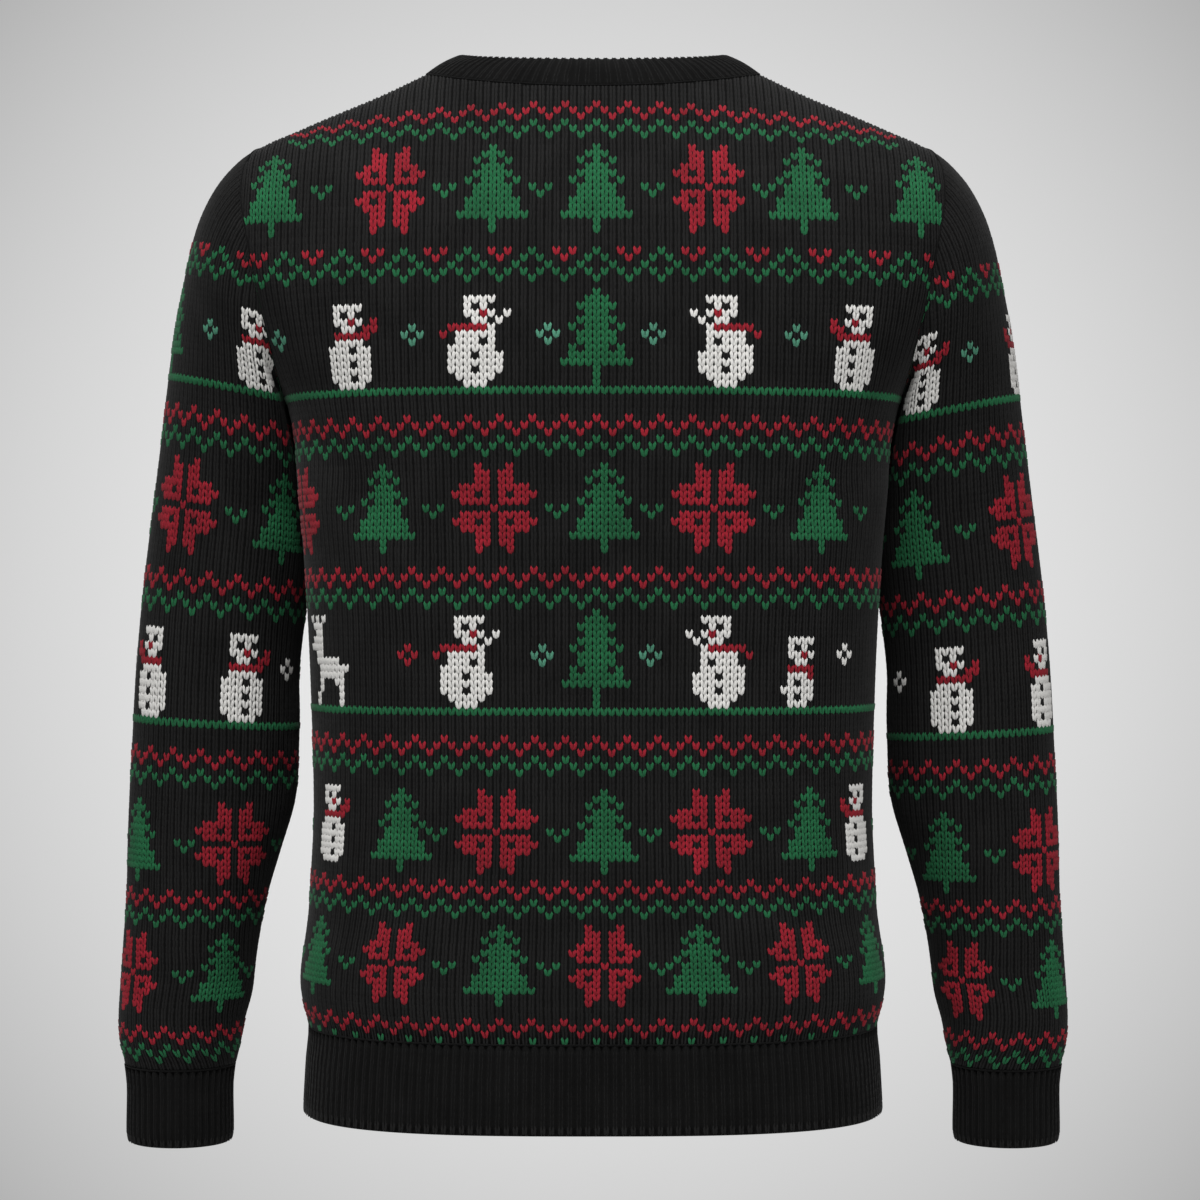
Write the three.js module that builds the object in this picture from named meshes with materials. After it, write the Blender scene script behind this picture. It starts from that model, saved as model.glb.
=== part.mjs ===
// A christmas pullover in jacquard knit, filled out as if worn, with nobody inside.
// Millimetres, +Z up. The back faces -Y and the front +Y. The origin is the middle of the neck,
// level with the high points of the shoulders, where the garment is carried.
// Every piece is a wall of cloth: front and back panels, two set-in sleeves, and ribbed bands at
// the neck, the hem and the cuffs, sewn edge to edge.
import * as THREE from "three";

// Cloth and seams
const WALL = 2.6;
const SEAM_GAP = 0.3;
const NECK_SEAM_GAP = 0.5;
const RIB_RISE = 0.9;
const HEM_RIB_PITCH = 5.6;
const CUFF_RIB_PITCH = 5.2;
const HEM_LENGTH = 1080;

// Main heights of the body
const HEM_BOTTOM = -674;
const HEM_SEAM = -618;
const UNDERARM = -216;
const SHOULDER_POINT = -48.6;

// Hem band's rows: it keeps its width, then rolls in at the edge
const HEM_ROWS = [HEM_SEAM - SEAM_GAP, -640, -668, HEM_BOTTOM];

// Neckline: half width at the shoulders and the drops at back and front. The band's free edge lies in
// from its seam, at a share of the distance from the middle, and above it
const NECK = { halfWidth: 109.5, backDrop: 16.5, frontDrop: 85, dipPower: 1.3 };
const NECK_EDGE = {
  side: { share: 0.78, rise: 13.4 },
  back: { share: 0.735, rise: 21 },
  front: { share: 0.835, rise: 23 },
};
const NECK_BULGE = { side: 1.2, middle: 3.2 };
const NECK_RIBS_PER_SPAN = 4;
const NECK_ROWS = [0, 0.35, 0.75, 1];

// How near the sleeves lie to the body under the arms, and how softly they meet it
const REST_GAP = 1.6;
const REST_BLEND = 3;

// Half of the armhole's depth from back to front
const ARMHOLE_DEPTH = 74;

// How full a fold is at its ends, as the part of a half wave that it takes up
const FOLD_WAVE = { from: 0.15, to: 0.85 };

// Mesh steps
const COLUMNS = 24;
const ROWS_BELOW = 13;
const ARMHOLE_STEPS = 11;

// Body below and above the underarm: depths from the side seam's plane, and how square a section is
const TORSO = [
  { z: -673, back: 131, front: 129, square: 2.9 },
  { z: -618, back: 129, front: 127, square: 2.85 },
  { z: -602, back: 132, front: 130, square: 2.85 },
  { z: -585, back: 133, front: 131, square: 2.8 },
  { z: -560, back: 131.5, front: 129.5, square: 2.8 },
  { z: -520, back: 128, front: 126, square: 2.75 },
  { z: -475, back: 126, front: 124, square: 2.7 },
  { z: -410, back: 125, front: 124, square: 2.65 },
  { z: -340, back: 126, front: 127, square: 2.6 },
  { z: -280, back: 127, front: 130, square: 2.55 },
  { z: -216, back: 127.5, front: 131, square: 2.5 },
  { z: -180, back: 126, front: 130, square: 2.5 },
  { z: -145, back: 121, front: 122, square: 2.5 },
  { z: -115, back: 113, front: 113, square: 2.45 },
  { z: -80, back: 99, front: 98, square: 2.35 },
  { z: -48.6, back: 82, front: 81, square: 2.2 },
  { z: -30, back: 71, front: 70, square: 2.1 },
  { z: -15, back: 61, front: 61, square: 2.05 },
  { z: 0, back: 52, front: 52, square: 2 },
];

// The panels' side edge: side seam, then armhole, then shoulder seam
const SIDE_EDGE = [
  { z: -673, x: 188 },
  { z: -640, x: 186.2 },
  { z: -618, x: 184.5 },
  { z: -604, x: 188 },
  { z: -590, x: 190 },
  { z: -570, x: 188.8 },
  { z: -541, x: 185 },
  { z: -508, x: 182.6 },
  { z: -475, x: 181.6 },
  { z: -410, x: 183.3 },
  { z: -344, x: 186.3 },
  { z: -280, x: 191 },
  { z: -246, x: 194.5 },
  { z: -216, x: 200 },
  { z: -205, x: 201.6 },
  { z: -180, x: 206 },
  { z: -145, x: 213 },
  { z: -115, x: 219 },
  { z: -95, x: 223 },
  { z: -78, x: 224.5 },
  { z: -62, x: 223 },
  { z: -48.6, x: 216.5 },
  { z: -40, x: 198 },
  { z: -30, x: 175.7 },
  { z: -15, x: 140.6 },
  { z: 0, x: 109.5 },
];

// Right sleeve, a row for each section: its outer and inner points in X and Z, half its depth in Y,
// how far forward its middle hangs, and how much of the armhole's own outline it still keeps
const SLEEVE = [
  { outX: 216.5, outZ: -48.6, inX: 200, inZ: -216, depth: 74, forward: 0, keep: 1 },
  { outX: 227.2, outZ: -56, inX: 201, inZ: -213.5, depth: 73.5, forward: 0, keep: 0.85 },
  { outX: 240.9, outZ: -70, inX: 202, inZ: -214, depth: 72.5, forward: 1, keep: 0.65 },
  { outX: 252.9, outZ: -89, inX: 199, inZ: -219, depth: 71, forward: 2, keep: 0.45 },
  { outX: 261.8, outZ: -111, inX: 194, inZ: -228.5, depth: 69, forward: 5, keep: 0.28 },
  { outX: 268.6, outZ: -136, inX: 189, inZ: -241, depth: 66, forward: 10, keep: 0.14 },
  { outX: 275.6, outZ: -166, inX: 185.5, inZ: -258, depth: 63, forward: 16, keep: 0.05 },
  { outX: 281, outZ: -199, inX: 184, inZ: -278, depth: 60, forward: 22, keep: 0 },
  { outX: 286.2, outZ: -236, inX: 184.5, inZ: -301, depth: 57.5, forward: 28, keep: 0 },
  { outX: 292, outZ: -276, inX: 187.5, inZ: -327, depth: 55.5, forward: 34, keep: 0 },
  { outX: 298, outZ: -318, inX: 192.5, inZ: -355, depth: 54, forward: 39, keep: 0 },
  { outX: 303.2, outZ: -360, inX: 196.3, inZ: -386, depth: 52.8, forward: 44, keep: 0 },
  { outX: 306.8, outZ: -400, inX: 196.6, inZ: -417, depth: 52, forward: 47, keep: 0 },
  { outX: 309, outZ: -438, inX: 197.3, inZ: -448, depth: 51.3, forward: 49, keep: 0 },
  { outX: 311.2, outZ: -474, inX: 200.6, inZ: -479, depth: 50.3, forward: 51, keep: 0 },
  { outX: 312.8, outZ: -508, inX: 210.3, inZ: -511, depth: 48.3, forward: 53, keep: 0 },
  { outX: 313.7, outZ: -542, inX: 220, inZ: -544, depth: 46.3, forward: 54, keep: 0 },
  { outX: 316.2, outZ: -576, inX: 226.2, inZ: -577, depth: 45, forward: 55, keep: 0 },
  { outX: 318.4, outZ: -606, inX: 229.6, inZ: -606, depth: 44.8, forward: 56, keep: 0 },
  { outX: 319.3, outZ: -626, inX: 235, inZ: -626, depth: 43.5, forward: 56, keep: 0 },
  { outX: 318.2, outZ: -641, inX: 237.7, inZ: -641, depth: 41, forward: 56, keep: 0 },
  { outX: 316, outZ: -650, inX: 239.8, inZ: -650, depth: 38.5, forward: 56, keep: 0 },
  { outX: 315, outZ: -656, inX: 241.3, inZ: -656, depth: 37, forward: 56, keep: 0 },
];

// Cuff, a row for each section under the sleeve's end
const CUFF_BOTTOM = -708;
const CUFF = [
  { z: -656 - SEAM_GAP, half: 36.8, depth: 36.8 },
  { z: -670, half: 35.3, depth: 35.6 },
  { z: -702, half: 35.5, depth: 35.8 },
  { z: CUFF_BOTTOM, half: 34.5, depth: 34.8 },
];
const CUFF_MIDDLE = { x: 278.4, y: 56 };

// Largest folds of the panels: a soft trough (minus) or ridge along a line from one point to another,
// on the back (side -1) or the front (side 1), with its half width and depth
const FOLDS = [
  { side: -1, x0: -188, z0: -232, x1: -120, z1: -300, width: 17, depth: -3.5 },
  { side: -1, x0: 186, z0: -236, x1: 118, z1: -310, width: 17, depth: -3.5 },
  { side: -1, x0: -178, z0: -262, x1: -96, z1: -352, width: 20, depth: 2.5 },
  { side: -1, x0: 176, z0: -268, x1: 92, z1: -360, width: 20, depth: 2.5 },
  { side: -1, x0: -182, z0: -560, x1: -110, z1: -520, width: 18, depth: -2.5 },
  { side: -1, x0: 182, z0: -556, x1: 104, z1: -516, width: 18, depth: -2.5 },
  { side: 1, x0: -186, z0: -236, x1: -112, z1: -318, width: 18, depth: -3.8 },
  { side: 1, x0: 188, z0: -232, x1: 120, z1: -304, width: 17, depth: -3.4 },
  { side: 1, x0: -170, z0: -272, x1: -88, z1: -366, width: 21, depth: 2.6 },
  { side: 1, x0: 174, z0: -262, x1: 98, z1: -350, width: 20, depth: 2.4 },
  { side: 1, x0: -180, z0: -552, x1: -100, z1: -512, width: 19, depth: -2.6 },
  { side: 1, x0: 180, z0: -562, x1: 112, z1: -524, width: 18, depth: -2.4 },
];

// Largest folds of the sleeves, across the arm: how high they lie, which way they face (degrees from
// the outer line, by the back), their half width up the arm, their spread round it and their depth
const SLEEVE_FOLDS = [
  { z: -282, turn: 140, width: 20, spread: 42, depth: -4 },
  { z: -306, turn: 222, width: 22, spread: 46, depth: -4.5 },
  { z: -402, turn: 262, width: 19, spread: 58, depth: -5 },
  { z: -440, turn: 248, width: 18, spread: 52, depth: -4 },
  { z: -470, turn: 120, width: 20, spread: 40, depth: -2.5 },
  { z: -592, turn: 96, width: 15, spread: 48, depth: -2.6 },
  { z: -598, turn: 275, width: 15, spread: 55, depth: -3 },
];

// A smooth curve through a table's rows, as a function of the row's first key
function through(rows, at, value) {
  const slopes = rows.map((row, i) => {
    const a = rows[Math.max(0, i - 1)];
    const b = rows[Math.min(rows.length - 1, i + 1)];
    return (b[value] - a[value]) / (b[at] - a[at]);
  });
  return (t) => {
    let i = 0;
    while (i < rows.length - 2 && t > rows[i + 1][at]) i += 1;
    const span = rows[i + 1][at] - rows[i][at];
    const s = THREE.MathUtils.clamp((t - rows[i][at]) / span, 0, 1);
    const s2 = s * s;
    const s3 = s2 * s;
    return (
      rows[i][value] * (2 * s3 - 3 * s2 + 1) +
      rows[i + 1][value] * (3 * s2 - 2 * s3) +
      span * (slopes[i] * (s3 - 2 * s2 + s) + slopes[i + 1] * (s3 - s2))
    );
  };
}

const depthBack = through(TORSO, "z", "back");
const depthFront = through(TORSO, "z", "front");
const squareness = through(TORSO, "z", "square");
const sideEdge = through(SIDE_EDGE, "z", "x");

// Depth in Y of the body on the back (side -1) or the front (side 1)
function torsoDepth(z, side) {
  return side < 0 ? depthBack(z) : depthFront(z);
}

// Half the armhole's depth at a height: an oval from the underarm to the shoulder point
function armholeDepth(z) {
  const middle = (UNDERARM + SHOULDER_POINT) / 2;
  const share = (z - middle) / ((SHOULDER_POINT - UNDERARM) / 2);
  return Math.abs(share) < 1 ? ARMHOLE_DEPTH * Math.sqrt(1 - share * share) : 0;
}

// Half width of the body's section: beside the armhole it runs on past the panel's edge
function torsoHalfWidth(z, side) {
  const n = squareness(z);
  const share = armholeDepth(z) / torsoDepth(z, side);
  return sideEdge(z) / Math.pow(1 - Math.pow(share, n), 1 / n);
}

// 1 on the body's surface, less inside
function torsoField(x, y, z, side) {
  const n = squareness(z);
  const across = Math.pow(Math.abs(x) / torsoHalfWidth(z, side), n);
  return across + Math.pow(Math.abs(y) / torsoDepth(z, side), n);
}

function torsoNormal(p, side) {
  const d = 0.05;
  const f = (x, y, z) => torsoField(x, y, z, side);
  return new THREE.Vector3(
    f(p.x + d, p.y, p.z) - f(p.x - d, p.y, p.z),
    f(p.x, p.y + d, p.z) - f(p.x, p.y - d, p.z),
    f(p.x, p.y, p.z + d) - f(p.x, p.y, p.z - d),
  ).normalize();
}

// How far the folds move a point of a panel outwards
function foldAt(x, z, side) {
  let sum = 0;
  for (const fold of FOLDS) {
    if (fold.side !== side) continue;
    const dx = fold.x1 - fold.x0;
    const dz = fold.z1 - fold.z0;
    const along = ((x - fold.x0) * dx + (z - fold.z0) * dz) / (dx * dx + dz * dz);
    const held = THREE.MathUtils.clamp(along, 0, 1);
    const away = Math.hypot(x - fold.x0 - held * dx, z - fold.z0 - held * dz);
    const taper = Math.sin(Math.PI * THREE.MathUtils.lerp(FOLD_WAVE.from, FOLD_WAVE.to, held));
    sum += fold.depth * taper * Math.exp(-((away / fold.width) ** 2));
  }
  return sum;
}

// A point of the body at x and z, with its outward normal
function torsoPoint(x, z, side) {
  const n = squareness(z);
  const share = Math.min(1, Math.abs(x) / torsoHalfWidth(z, side));
  const y = side * torsoDepth(z, side) * Math.pow(1 - Math.pow(share, n), 1 / n);
  const point = new THREE.Vector3(x, y, z);
  return { point, normal: torsoNormal(point, side) };
}

// Even steps of cloth across a panel, from 0 in the middle to 1 at the side seam, as shares of X
function evenShares(steps) {
  const fine = 400;
  const z = UNDERARM;
  const points = [];
  for (let i = 0; i <= fine; i += 1) {
    const angle = (Math.PI / 2) * (i / fine);
    points.push(torsoPoint(torsoHalfWidth(z, -1) * Math.sin(angle), z, -1).point);
  }
  const lengths = [0];
  for (let i = 1; i <= fine; i += 1) {
    lengths.push(lengths[i - 1] + points[i].distanceTo(points[i - 1]));
  }
  const shares = [];
  for (let k = 0; k <= steps; k += 1) {
    const wanted = (lengths[fine] * k) / steps;
    const i = Math.max(1, lengths.findIndex((length) => length >= wanted - 1e-9));
    const t = (wanted - lengths[i - 1]) / (lengths[i] - lengths[i - 1]);
    shares.push(THREE.MathUtils.lerp(points[i - 1].x, points[i].x, t) / torsoHalfWidth(z, -1));
  }
  return shares;
}

const SHARES = evenShares(COLUMNS / 2);

// The panel's top edge at a column, from -1 to 1: neckline in the middle half, shoulder seams beside it
function topEdge(f, side) {
  const a = Math.abs(f);
  if (a <= 0.5) {
    const angle = Math.PI * a;
    const drop = side < 0 ? NECK.backDrop : NECK.frontDrop;
    const dip = Math.pow(Math.cos(angle), NECK.dipPower);
    return { x: Math.sign(f) * NECK.halfWidth * Math.sin(angle), z: -drop * dip };
  }
  const z = THREE.MathUtils.lerp(0, SHOULDER_POINT, (a - 0.5) * 2);
  return { x: Math.sign(f) * sideEdge(z), z };
}

// Where the armhole's height stands at a step from 0 at the underarm to 1 at the shoulder point
function armholeShare(t) {
  return (1 - Math.cos(Math.PI * t)) / 2;
}

function armholeHeight(t) {
  return THREE.MathUtils.lerp(UNDERARM, SHOULDER_POINT, armholeShare(t));
}

// X and Z of a panel's grid point: level rows up to the underarm, then rows that rise to the top edge
function panelPlace(column, row, side) {
  const f = (2 * column) / COLUMNS - 1;
  const share = Math.sign(f) * SHARES[Math.round(Math.abs(f) * (COLUMNS / 2))];
  if (row <= ROWS_BELOW) {
    const z = THREE.MathUtils.lerp(HEM_SEAM, UNDERARM, row / ROWS_BELOW);
    return { x: torsoHalfWidth(z, side) * share, z };
  }
  const t = (row - ROWS_BELOW) / ARMHOLE_STEPS;
  const rise = armholeShare(t);
  const top = topEdge(f, side);
  const z = THREE.MathUtils.lerp(UNDERARM, top.z, rise);
  const straight = THREE.MathUtils.lerp(sideEdge(UNDERARM), sideEdge(SHOULDER_POINT), rise);
  const bow = sideEdge(armholeHeight(t)) - straight;
  const x = THREE.MathUtils.lerp(sideEdge(UNDERARM) * share, top.x, rise) + bow * f * Math.abs(f);
  return { x, z };
}

// A closed body from rings or grids of points, with its faces added by index
class Shell {
  constructor() {
    this.places = [];
    this.faces = [];
  }

  add(point) {
    this.places.push(point.x, point.y, point.z);
    return this.places.length / 3 - 1;
  }

  triangle(a, b, c) {
    this.faces.push(a, b, c);
  }

  quad(a, b, c, d) {
    this.triangle(a, b, c);
    this.triangle(a, c, d);
  }

  // Strip between two closed rings of the same count
  strip(low, high) {
    for (let i = 0; i < low.length; i += 1) {
      const j = (i + 1) % low.length;
      this.quad(low[i], low[j], high[j], high[i]);
    }
  }

  // Flat rim between a ring and one that has a whole number of points for each of its points
  rim(coarse, fine) {
    const each = fine.length / coarse.length;
    for (let i = 0; i < coarse.length; i += 1) {
      const next = (i + 1) % coarse.length;
      const half = Math.floor(each / 2);
      for (let k = 0; k < each; k += 1) {
        const a = fine[i * each + k];
        const b = fine[(i * each + k + 1) % fine.length];
        this.triangle(k < half ? coarse[i] : coarse[next], a, b);
      }
      this.triangle(coarse[i], fine[i * each + half], coarse[next]);
    }
  }

  geometry() {
    const geometry = new THREE.BufferGeometry();
    geometry.setAttribute("position", new THREE.Float32BufferAttribute(this.places, 3));
    geometry.setIndex(this.signedVolume() < 0 ? this.turned() : this.faces);
    geometry.computeVertexNormals();
    return geometry;
  }

  signedVolume() {
    let sum = 0;
    const corner = (i) => new THREE.Vector3().fromArray(this.places, 3 * this.faces[i]);
    for (let i = 0; i < this.faces.length; i += 3) {
      sum += corner(i).dot(corner(i + 1).cross(corner(i + 2)));
    }
    return sum;
  }

  turned() {
    const faces = [...this.faces];
    for (let i = 0; i < faces.length; i += 3) [faces[i + 1], faces[i + 2]] = [faces[i + 2], faces[i + 1]];
    return faces;
  }
}

// Point of a panel's grid, kept half a seam gap off the side and shoulder seams
function panelPoint(column, row, side) {
  const { x, z } = panelPlace(column, row, side);
  const { point, normal } = torsoPoint(x, z, side);
  if (row === 0) normal.setZ(0).normalize();
  const f = Math.abs((2 * column) / COLUMNS - 1);
  const onSideSeam = f === 1 && row <= ROWS_BELOW;
  const onShoulder = row === ROWS_BELOW + ARMHOLE_STEPS && f >= 0.5;
  if (onSideSeam || onShoulder) {
    normal.setY(0).normalize();
    point.y = (side * SEAM_GAP) / 2;
  } else {
    point.addScaledVector(normal, foldAt(x, z, side));
  }
  return { point, normal };
}

function panelGeometry(side) {
  const shell = new Shell();
  const outer = [];
  const inner = [];
  const rows = ROWS_BELOW + ARMHOLE_STEPS;
  for (let row = 0; row <= rows; row += 1) {
    outer.push([]);
    inner.push([]);
    for (let column = 0; column <= COLUMNS; column += 1) {
      const { point, normal } = panelPoint(column, row, side);
      outer[row].push(shell.add(point));
      inner[row].push(shell.add(point.clone().addScaledVector(normal, -WALL)));
    }
  }
  for (let row = 0; row < rows; row += 1) {
    const [out, outAbove] = [outer[row], outer[row + 1]];
    const [inn, innAbove] = [inner[row], inner[row + 1]];
    for (let column = 0; column < COLUMNS; column += 1) {
      const next = column + 1;
      shell.quad(out[column], out[next], outAbove[next], outAbove[column]);
      shell.quad(inn[next], inn[column], innAbove[column], innAbove[next]);
    }
    shell.quad(inn[0], out[0], outAbove[0], innAbove[0]);
    shell.quad(out[COLUMNS], inn[COLUMNS], innAbove[COLUMNS], outAbove[COLUMNS]);
  }
  for (let column = 0; column < COLUMNS; column += 1) {
    shell.quad(inner[0][column], inner[0][column + 1], outer[0][column + 1], outer[0][column]);
    shell.quad(outer[rows][column], outer[rows][column + 1], inner[rows][column + 1], inner[rows][column]);
  }
  return shell.geometry();
}

// Point of the right armhole at an angle: 0 at the shoulder point, down the back, up the front
function armholePoint(angle) {
  const height = (SHOULDER_POINT - UNDERARM) / 2;
  const z = UNDERARM + height + height * Math.cos(angle);
  const side = Math.sin(angle) > 0 ? -1 : 1;
  const point = new THREE.Vector3(sideEdge(z), side * armholeDepth(z), z);
  return { point, normal: torsoNormal(point, side) };
}

// How far the folds move a sleeve's point outwards
function sleeveFoldAt(angle, z) {
  const turn = THREE.MathUtils.radToDeg(angle);
  return SLEEVE_FOLDS.reduce((sum, fold) => {
    const up = (z - fold.z) / fold.width;
    const round = (turn - fold.turn) / fold.spread;
    return sum + fold.depth * Math.exp(-up * up - round * round);
  }, 0);
}

// Moves a sleeve's point off the body's side, which the sleeve rests against under the arm
function clearOfBody(point) {
  if (point.z > UNDERARM) return;
  const side = point.y < 0 ? -1 : 1;
  const n = squareness(point.z);
  const share = Math.min(1, Math.abs(point.y) / torsoDepth(point.z, side));
  const body = torsoHalfWidth(point.z, side) * Math.pow(1 - Math.pow(share, n), 1 / n);
  const over = point.x - body - Math.max(0, foldAt(point.x, point.z, side)) - REST_GAP;
  point.x += (Math.hypot(over, REST_BLEND) - over) / 2;
}

// Section of the right sleeve at a row of its table
function sleeveRing(row) {
  const ring = [];
  const count = 2 * ARMHOLE_STEPS;
  const out = new THREE.Vector3(row.outX, row.forward, row.outZ);
  const inn = new THREE.Vector3(row.inX, row.forward, row.inZ);
  const middle = out.clone().add(inn).multiplyScalar(0.5);
  const reach = out.clone().sub(inn).multiplyScalar(0.5);
  const first = SLEEVE[0];
  for (let i = 0; i < count; i += 1) {
    const angle = (2 * Math.PI * i) / count;
    const point = middle.clone().addScaledVector(reach, Math.cos(angle));
    point.y -= row.depth * Math.sin(angle);
    const flat = (first.outX + first.inX) / 2 + ((first.outX - first.inX) / 2) * Math.cos(angle);
    point.x += row.keep * (armholePoint(angle).point.x - flat);
    const outward = point.clone().sub(middle).normalize();
    point.addScaledVector(outward, sleeveFoldAt(angle, point.z));
    if (row !== first) clearOfBody(point);
    ring.push(point);
  }
  return ring;
}

function sleeveGeometry() {
  const rings = SLEEVE.map(sleeveRing);
  const count = rings[0].length;
  const last = rings.length - 1;
  const around = (k, i) => rings[k][(i + count) % count];
  const shell = new Shell();
  const outer = [];
  const inner = [];
  rings.forEach((ring, k) => {
    const normals = ring.map((point, i) => {
      const turn = around(k, i + 1).clone().sub(around(k, i - 1));
      const along = rings[Math.min(k + 1, last)][i].clone().sub(rings[Math.max(k - 1, 0)][i]);
      const normal = turn.cross(along).normalize();
      if (k === last) normal.setZ(0).normalize();
      return normal;
    });
    if (k === 0) {
      ring.forEach((point, i) => {
        const { normal } = armholePoint((2 * Math.PI * i) / count);
        const turn = around(0, i + 1).clone().sub(around(0, i - 1)).normalize();
        const away = turn.clone().cross(normal).normalize();
        const sleeveWay = rings[1][i].clone().sub(point);
        normals[i] = normal;
        point.addScaledVector(away, Math.sign(away.dot(sleeveWay)) * SEAM_GAP);
      });
    }
    outer.push(ring.map((point) => shell.add(point)));
    inner.push(ring.map((point, i) => shell.add(point.clone().addScaledVector(normals[i], -WALL))));
  });
  for (let k = 0; k < last; k += 1) {
    shell.strip(outer[k + 1], outer[k]);
    shell.strip(inner[k], inner[k + 1]);
  }
  shell.strip(outer[0], inner[0]);
  shell.strip(inner[last], outer[last]);
  return shell.geometry();
}

// A ribbed tube: rings of outer points that stand out and in by turns over a plain inside.
// place(angle share, row) gives a point and its outward normal.
function ribbedTube(rowCount, corners, ribsPerCorner, place) {
  const shell = new Shell();
  const each = 2 * ribsPerCorner;
  const outer = [];
  const inner = [];
  for (let row = 0; row < rowCount; row += 1) {
    const core = [];
    for (let i = 0; i < corners; i += 1) core.push(place(i / corners, row));
    inner.push(core.map(({ point, normal }) => shell.add(point.clone().addScaledVector(normal, -WALL))));
    const ring = [];
    core.forEach(({ point, normal }, i) => {
      const next = core[(i + 1) % corners];
      for (let k = 0; k < each; k += 1) {
        const t = k / each;
        const at = point.clone().lerp(next.point, t);
        const out = normal.clone().lerp(next.normal, t).normalize();
        ring.push(shell.add(at.addScaledVector(out, k % 2 === 1 ? RIB_RISE : 0)));
      }
    });
    outer.push(ring);
  }
  const last = rowCount - 1;
  for (let row = 0; row < last; row += 1) shell.strip(outer[row], outer[row + 1]);
  for (let row = 0; row < last; row += 1) shell.strip(inner[row + 1], inner[row]);
  const turned = (ring) => [ring[0], ...ring.slice(1).reverse()];
  shell.rim(turned(inner[0]), turned(outer[0]));
  shell.rim(inner[last], outer[last]);
  return shell.geometry();
}

// Hem band under both panels
function hemGeometry() {
  const corners = 2 * COLUMNS;
  const ribs = Math.round(HEM_LENGTH / HEM_RIB_PITCH / corners);
  return ribbedTube(HEM_ROWS.length, corners, ribs, (share, row) => {
    const z = HEM_ROWS[row];
    const quarter = COLUMNS / 2;
    const step = Math.round(share * corners);
    const around = ((step % COLUMNS) - quarter) * (step < COLUMNS ? 1 : -1);
    const side = step < COLUMNS ? -1 : 1;
    const x = Math.sign(around) * torsoHalfWidth(z, side) * SHARES[Math.abs(around)];
    const { point, normal } = torsoPoint(x, z, side);
    normal.setZ(0).normalize();
    if (row === HEM_ROWS.length - 1) point.addScaledVector(normal, -RIB_RISE);
    return { point, normal };
  });
}

// Right cuff under its sleeve
function cuffGeometry() {
  const corners = 2 * ARMHOLE_STEPS;
  const ribs = Math.round((2 * Math.PI * CUFF[1].half) / CUFF_RIB_PITCH / corners);
  return ribbedTube(CUFF.length, corners, ribs, (share, row) => {
    const { z, half, depth } = CUFF[row];
    const angle = 2 * Math.PI * share;
    const normal = new THREE.Vector3(Math.cos(angle) / half, -Math.sin(angle) / depth, 0).normalize();
    const point = new THREE.Vector3(
      CUFF_MIDDLE.x + half * Math.cos(angle),
      CUFF_MIDDLE.y - depth * Math.sin(angle),
      z,
    );
    return { point, normal };
  });
}

// Neck band: from the neckline's seam up to its free edge, leaning in
function neckGeometry() {
  const corners = COLUMNS;
  const half = COLUMNS / 2;
  const seamAt = (step) => {
    const side = step < half ? -1 : 1;
    const across = step < half ? step : COLUMNS - step;
    const f = (2 * across) / COLUMNS - 0.5;
    const top = topEdge(f, side);
    const { point, normal } = torsoPoint(top.x, top.z, side);
    const { share, rise } = side < 0 ? NECK_EDGE.back : NECK_EDGE.front;
    const middle = Math.cos(Math.PI * f) ** 2;
    const lean = THREE.MathUtils.lerp(NECK_EDGE.side.share, share, middle);
    const edge = point.clone().multiply(new THREE.Vector3(lean, lean, 1));
    edge.z += THREE.MathUtils.lerp(NECK_EDGE.side.rise, rise, middle);
    const bulge = THREE.MathUtils.lerp(NECK_BULGE.side, NECK_BULGE.middle, middle);
    return { point, normal, edge, bulge };
  };
  return ribbedTube(NECK_ROWS.length, corners, NECK_RIBS_PER_SPAN, (share, row) => {
    const step = Math.round(share * corners);
    const { point, normal, edge, bulge } = seamAt(step);
    const before = seamAt((step + corners - 1) % corners).point;
    const after = seamAt((step + 1) % corners).point;
    const up = edge.clone().sub(point).normalize();
    const out = after.clone().sub(before).cross(up).normalize();
    if (out.dot(normal) < 0) out.negate();
    const rise = NECK_ROWS[row];
    const at = point.clone().addScaledVector(up, NECK_SEAM_GAP).lerp(edge, rise);
    at.addScaledVector(out, bulge * Math.sin(Math.PI * rise));
    return { point: at, normal: row === 0 ? normal : out };
  });
}

// Each piece has a knit wool of its own
function wool(name, color) {
  const material = new THREE.MeshStandardMaterial({ color, roughness: 0.95, metalness: 0 });
  material.name = name;
  return material;
}

function piece(name, geometry, material) {
  const mesh = new THREE.Mesh(geometry, material);
  mesh.name = name;
  return mesh;
}

// The left pieces are the right ones mirrored
function mirrored(geometry) {
  const copy = geometry.clone();
  copy.scale(-1, 1, 1);
  const index = copy.getIndex();
  for (let i = 0; i < index.count; i += 3) {
    const b = index.getX(i + 1);
    index.setX(i + 1, index.getX(i + 2));
    index.setX(i + 2, b);
  }
  copy.computeVertexNormals();
  return copy;
}

const sweater = new THREE.Group();
sweater.name = "christmas_sweater";
const sleeve = sleeveGeometry();
const cuff = cuffGeometry();
sweater.add(
  piece("back_panel", panelGeometry(-1), wool("jacquard_knit", 0x22231f)),
  piece("front_panel", panelGeometry(1), wool("jacquard_knit", 0x22231f)),
  piece("sleeve_right", sleeve, wool("jacquard_knit", 0x262622)),
  piece("sleeve_left", mirrored(sleeve), wool("jacquard_knit", 0x262622)),
  piece("neck_rib", neckGeometry(), wool("rib_knit", 0x1b1b1b)),
  piece("hem_rib", hemGeometry(), wool("rib_knit", 0x181818)),
  piece("cuff_right", cuff, wool("rib_knit", 0x181818)),
  piece("cuff_left", mirrored(cuff), wool("rib_knit", 0x181818)),
);

export default sweater;
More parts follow.
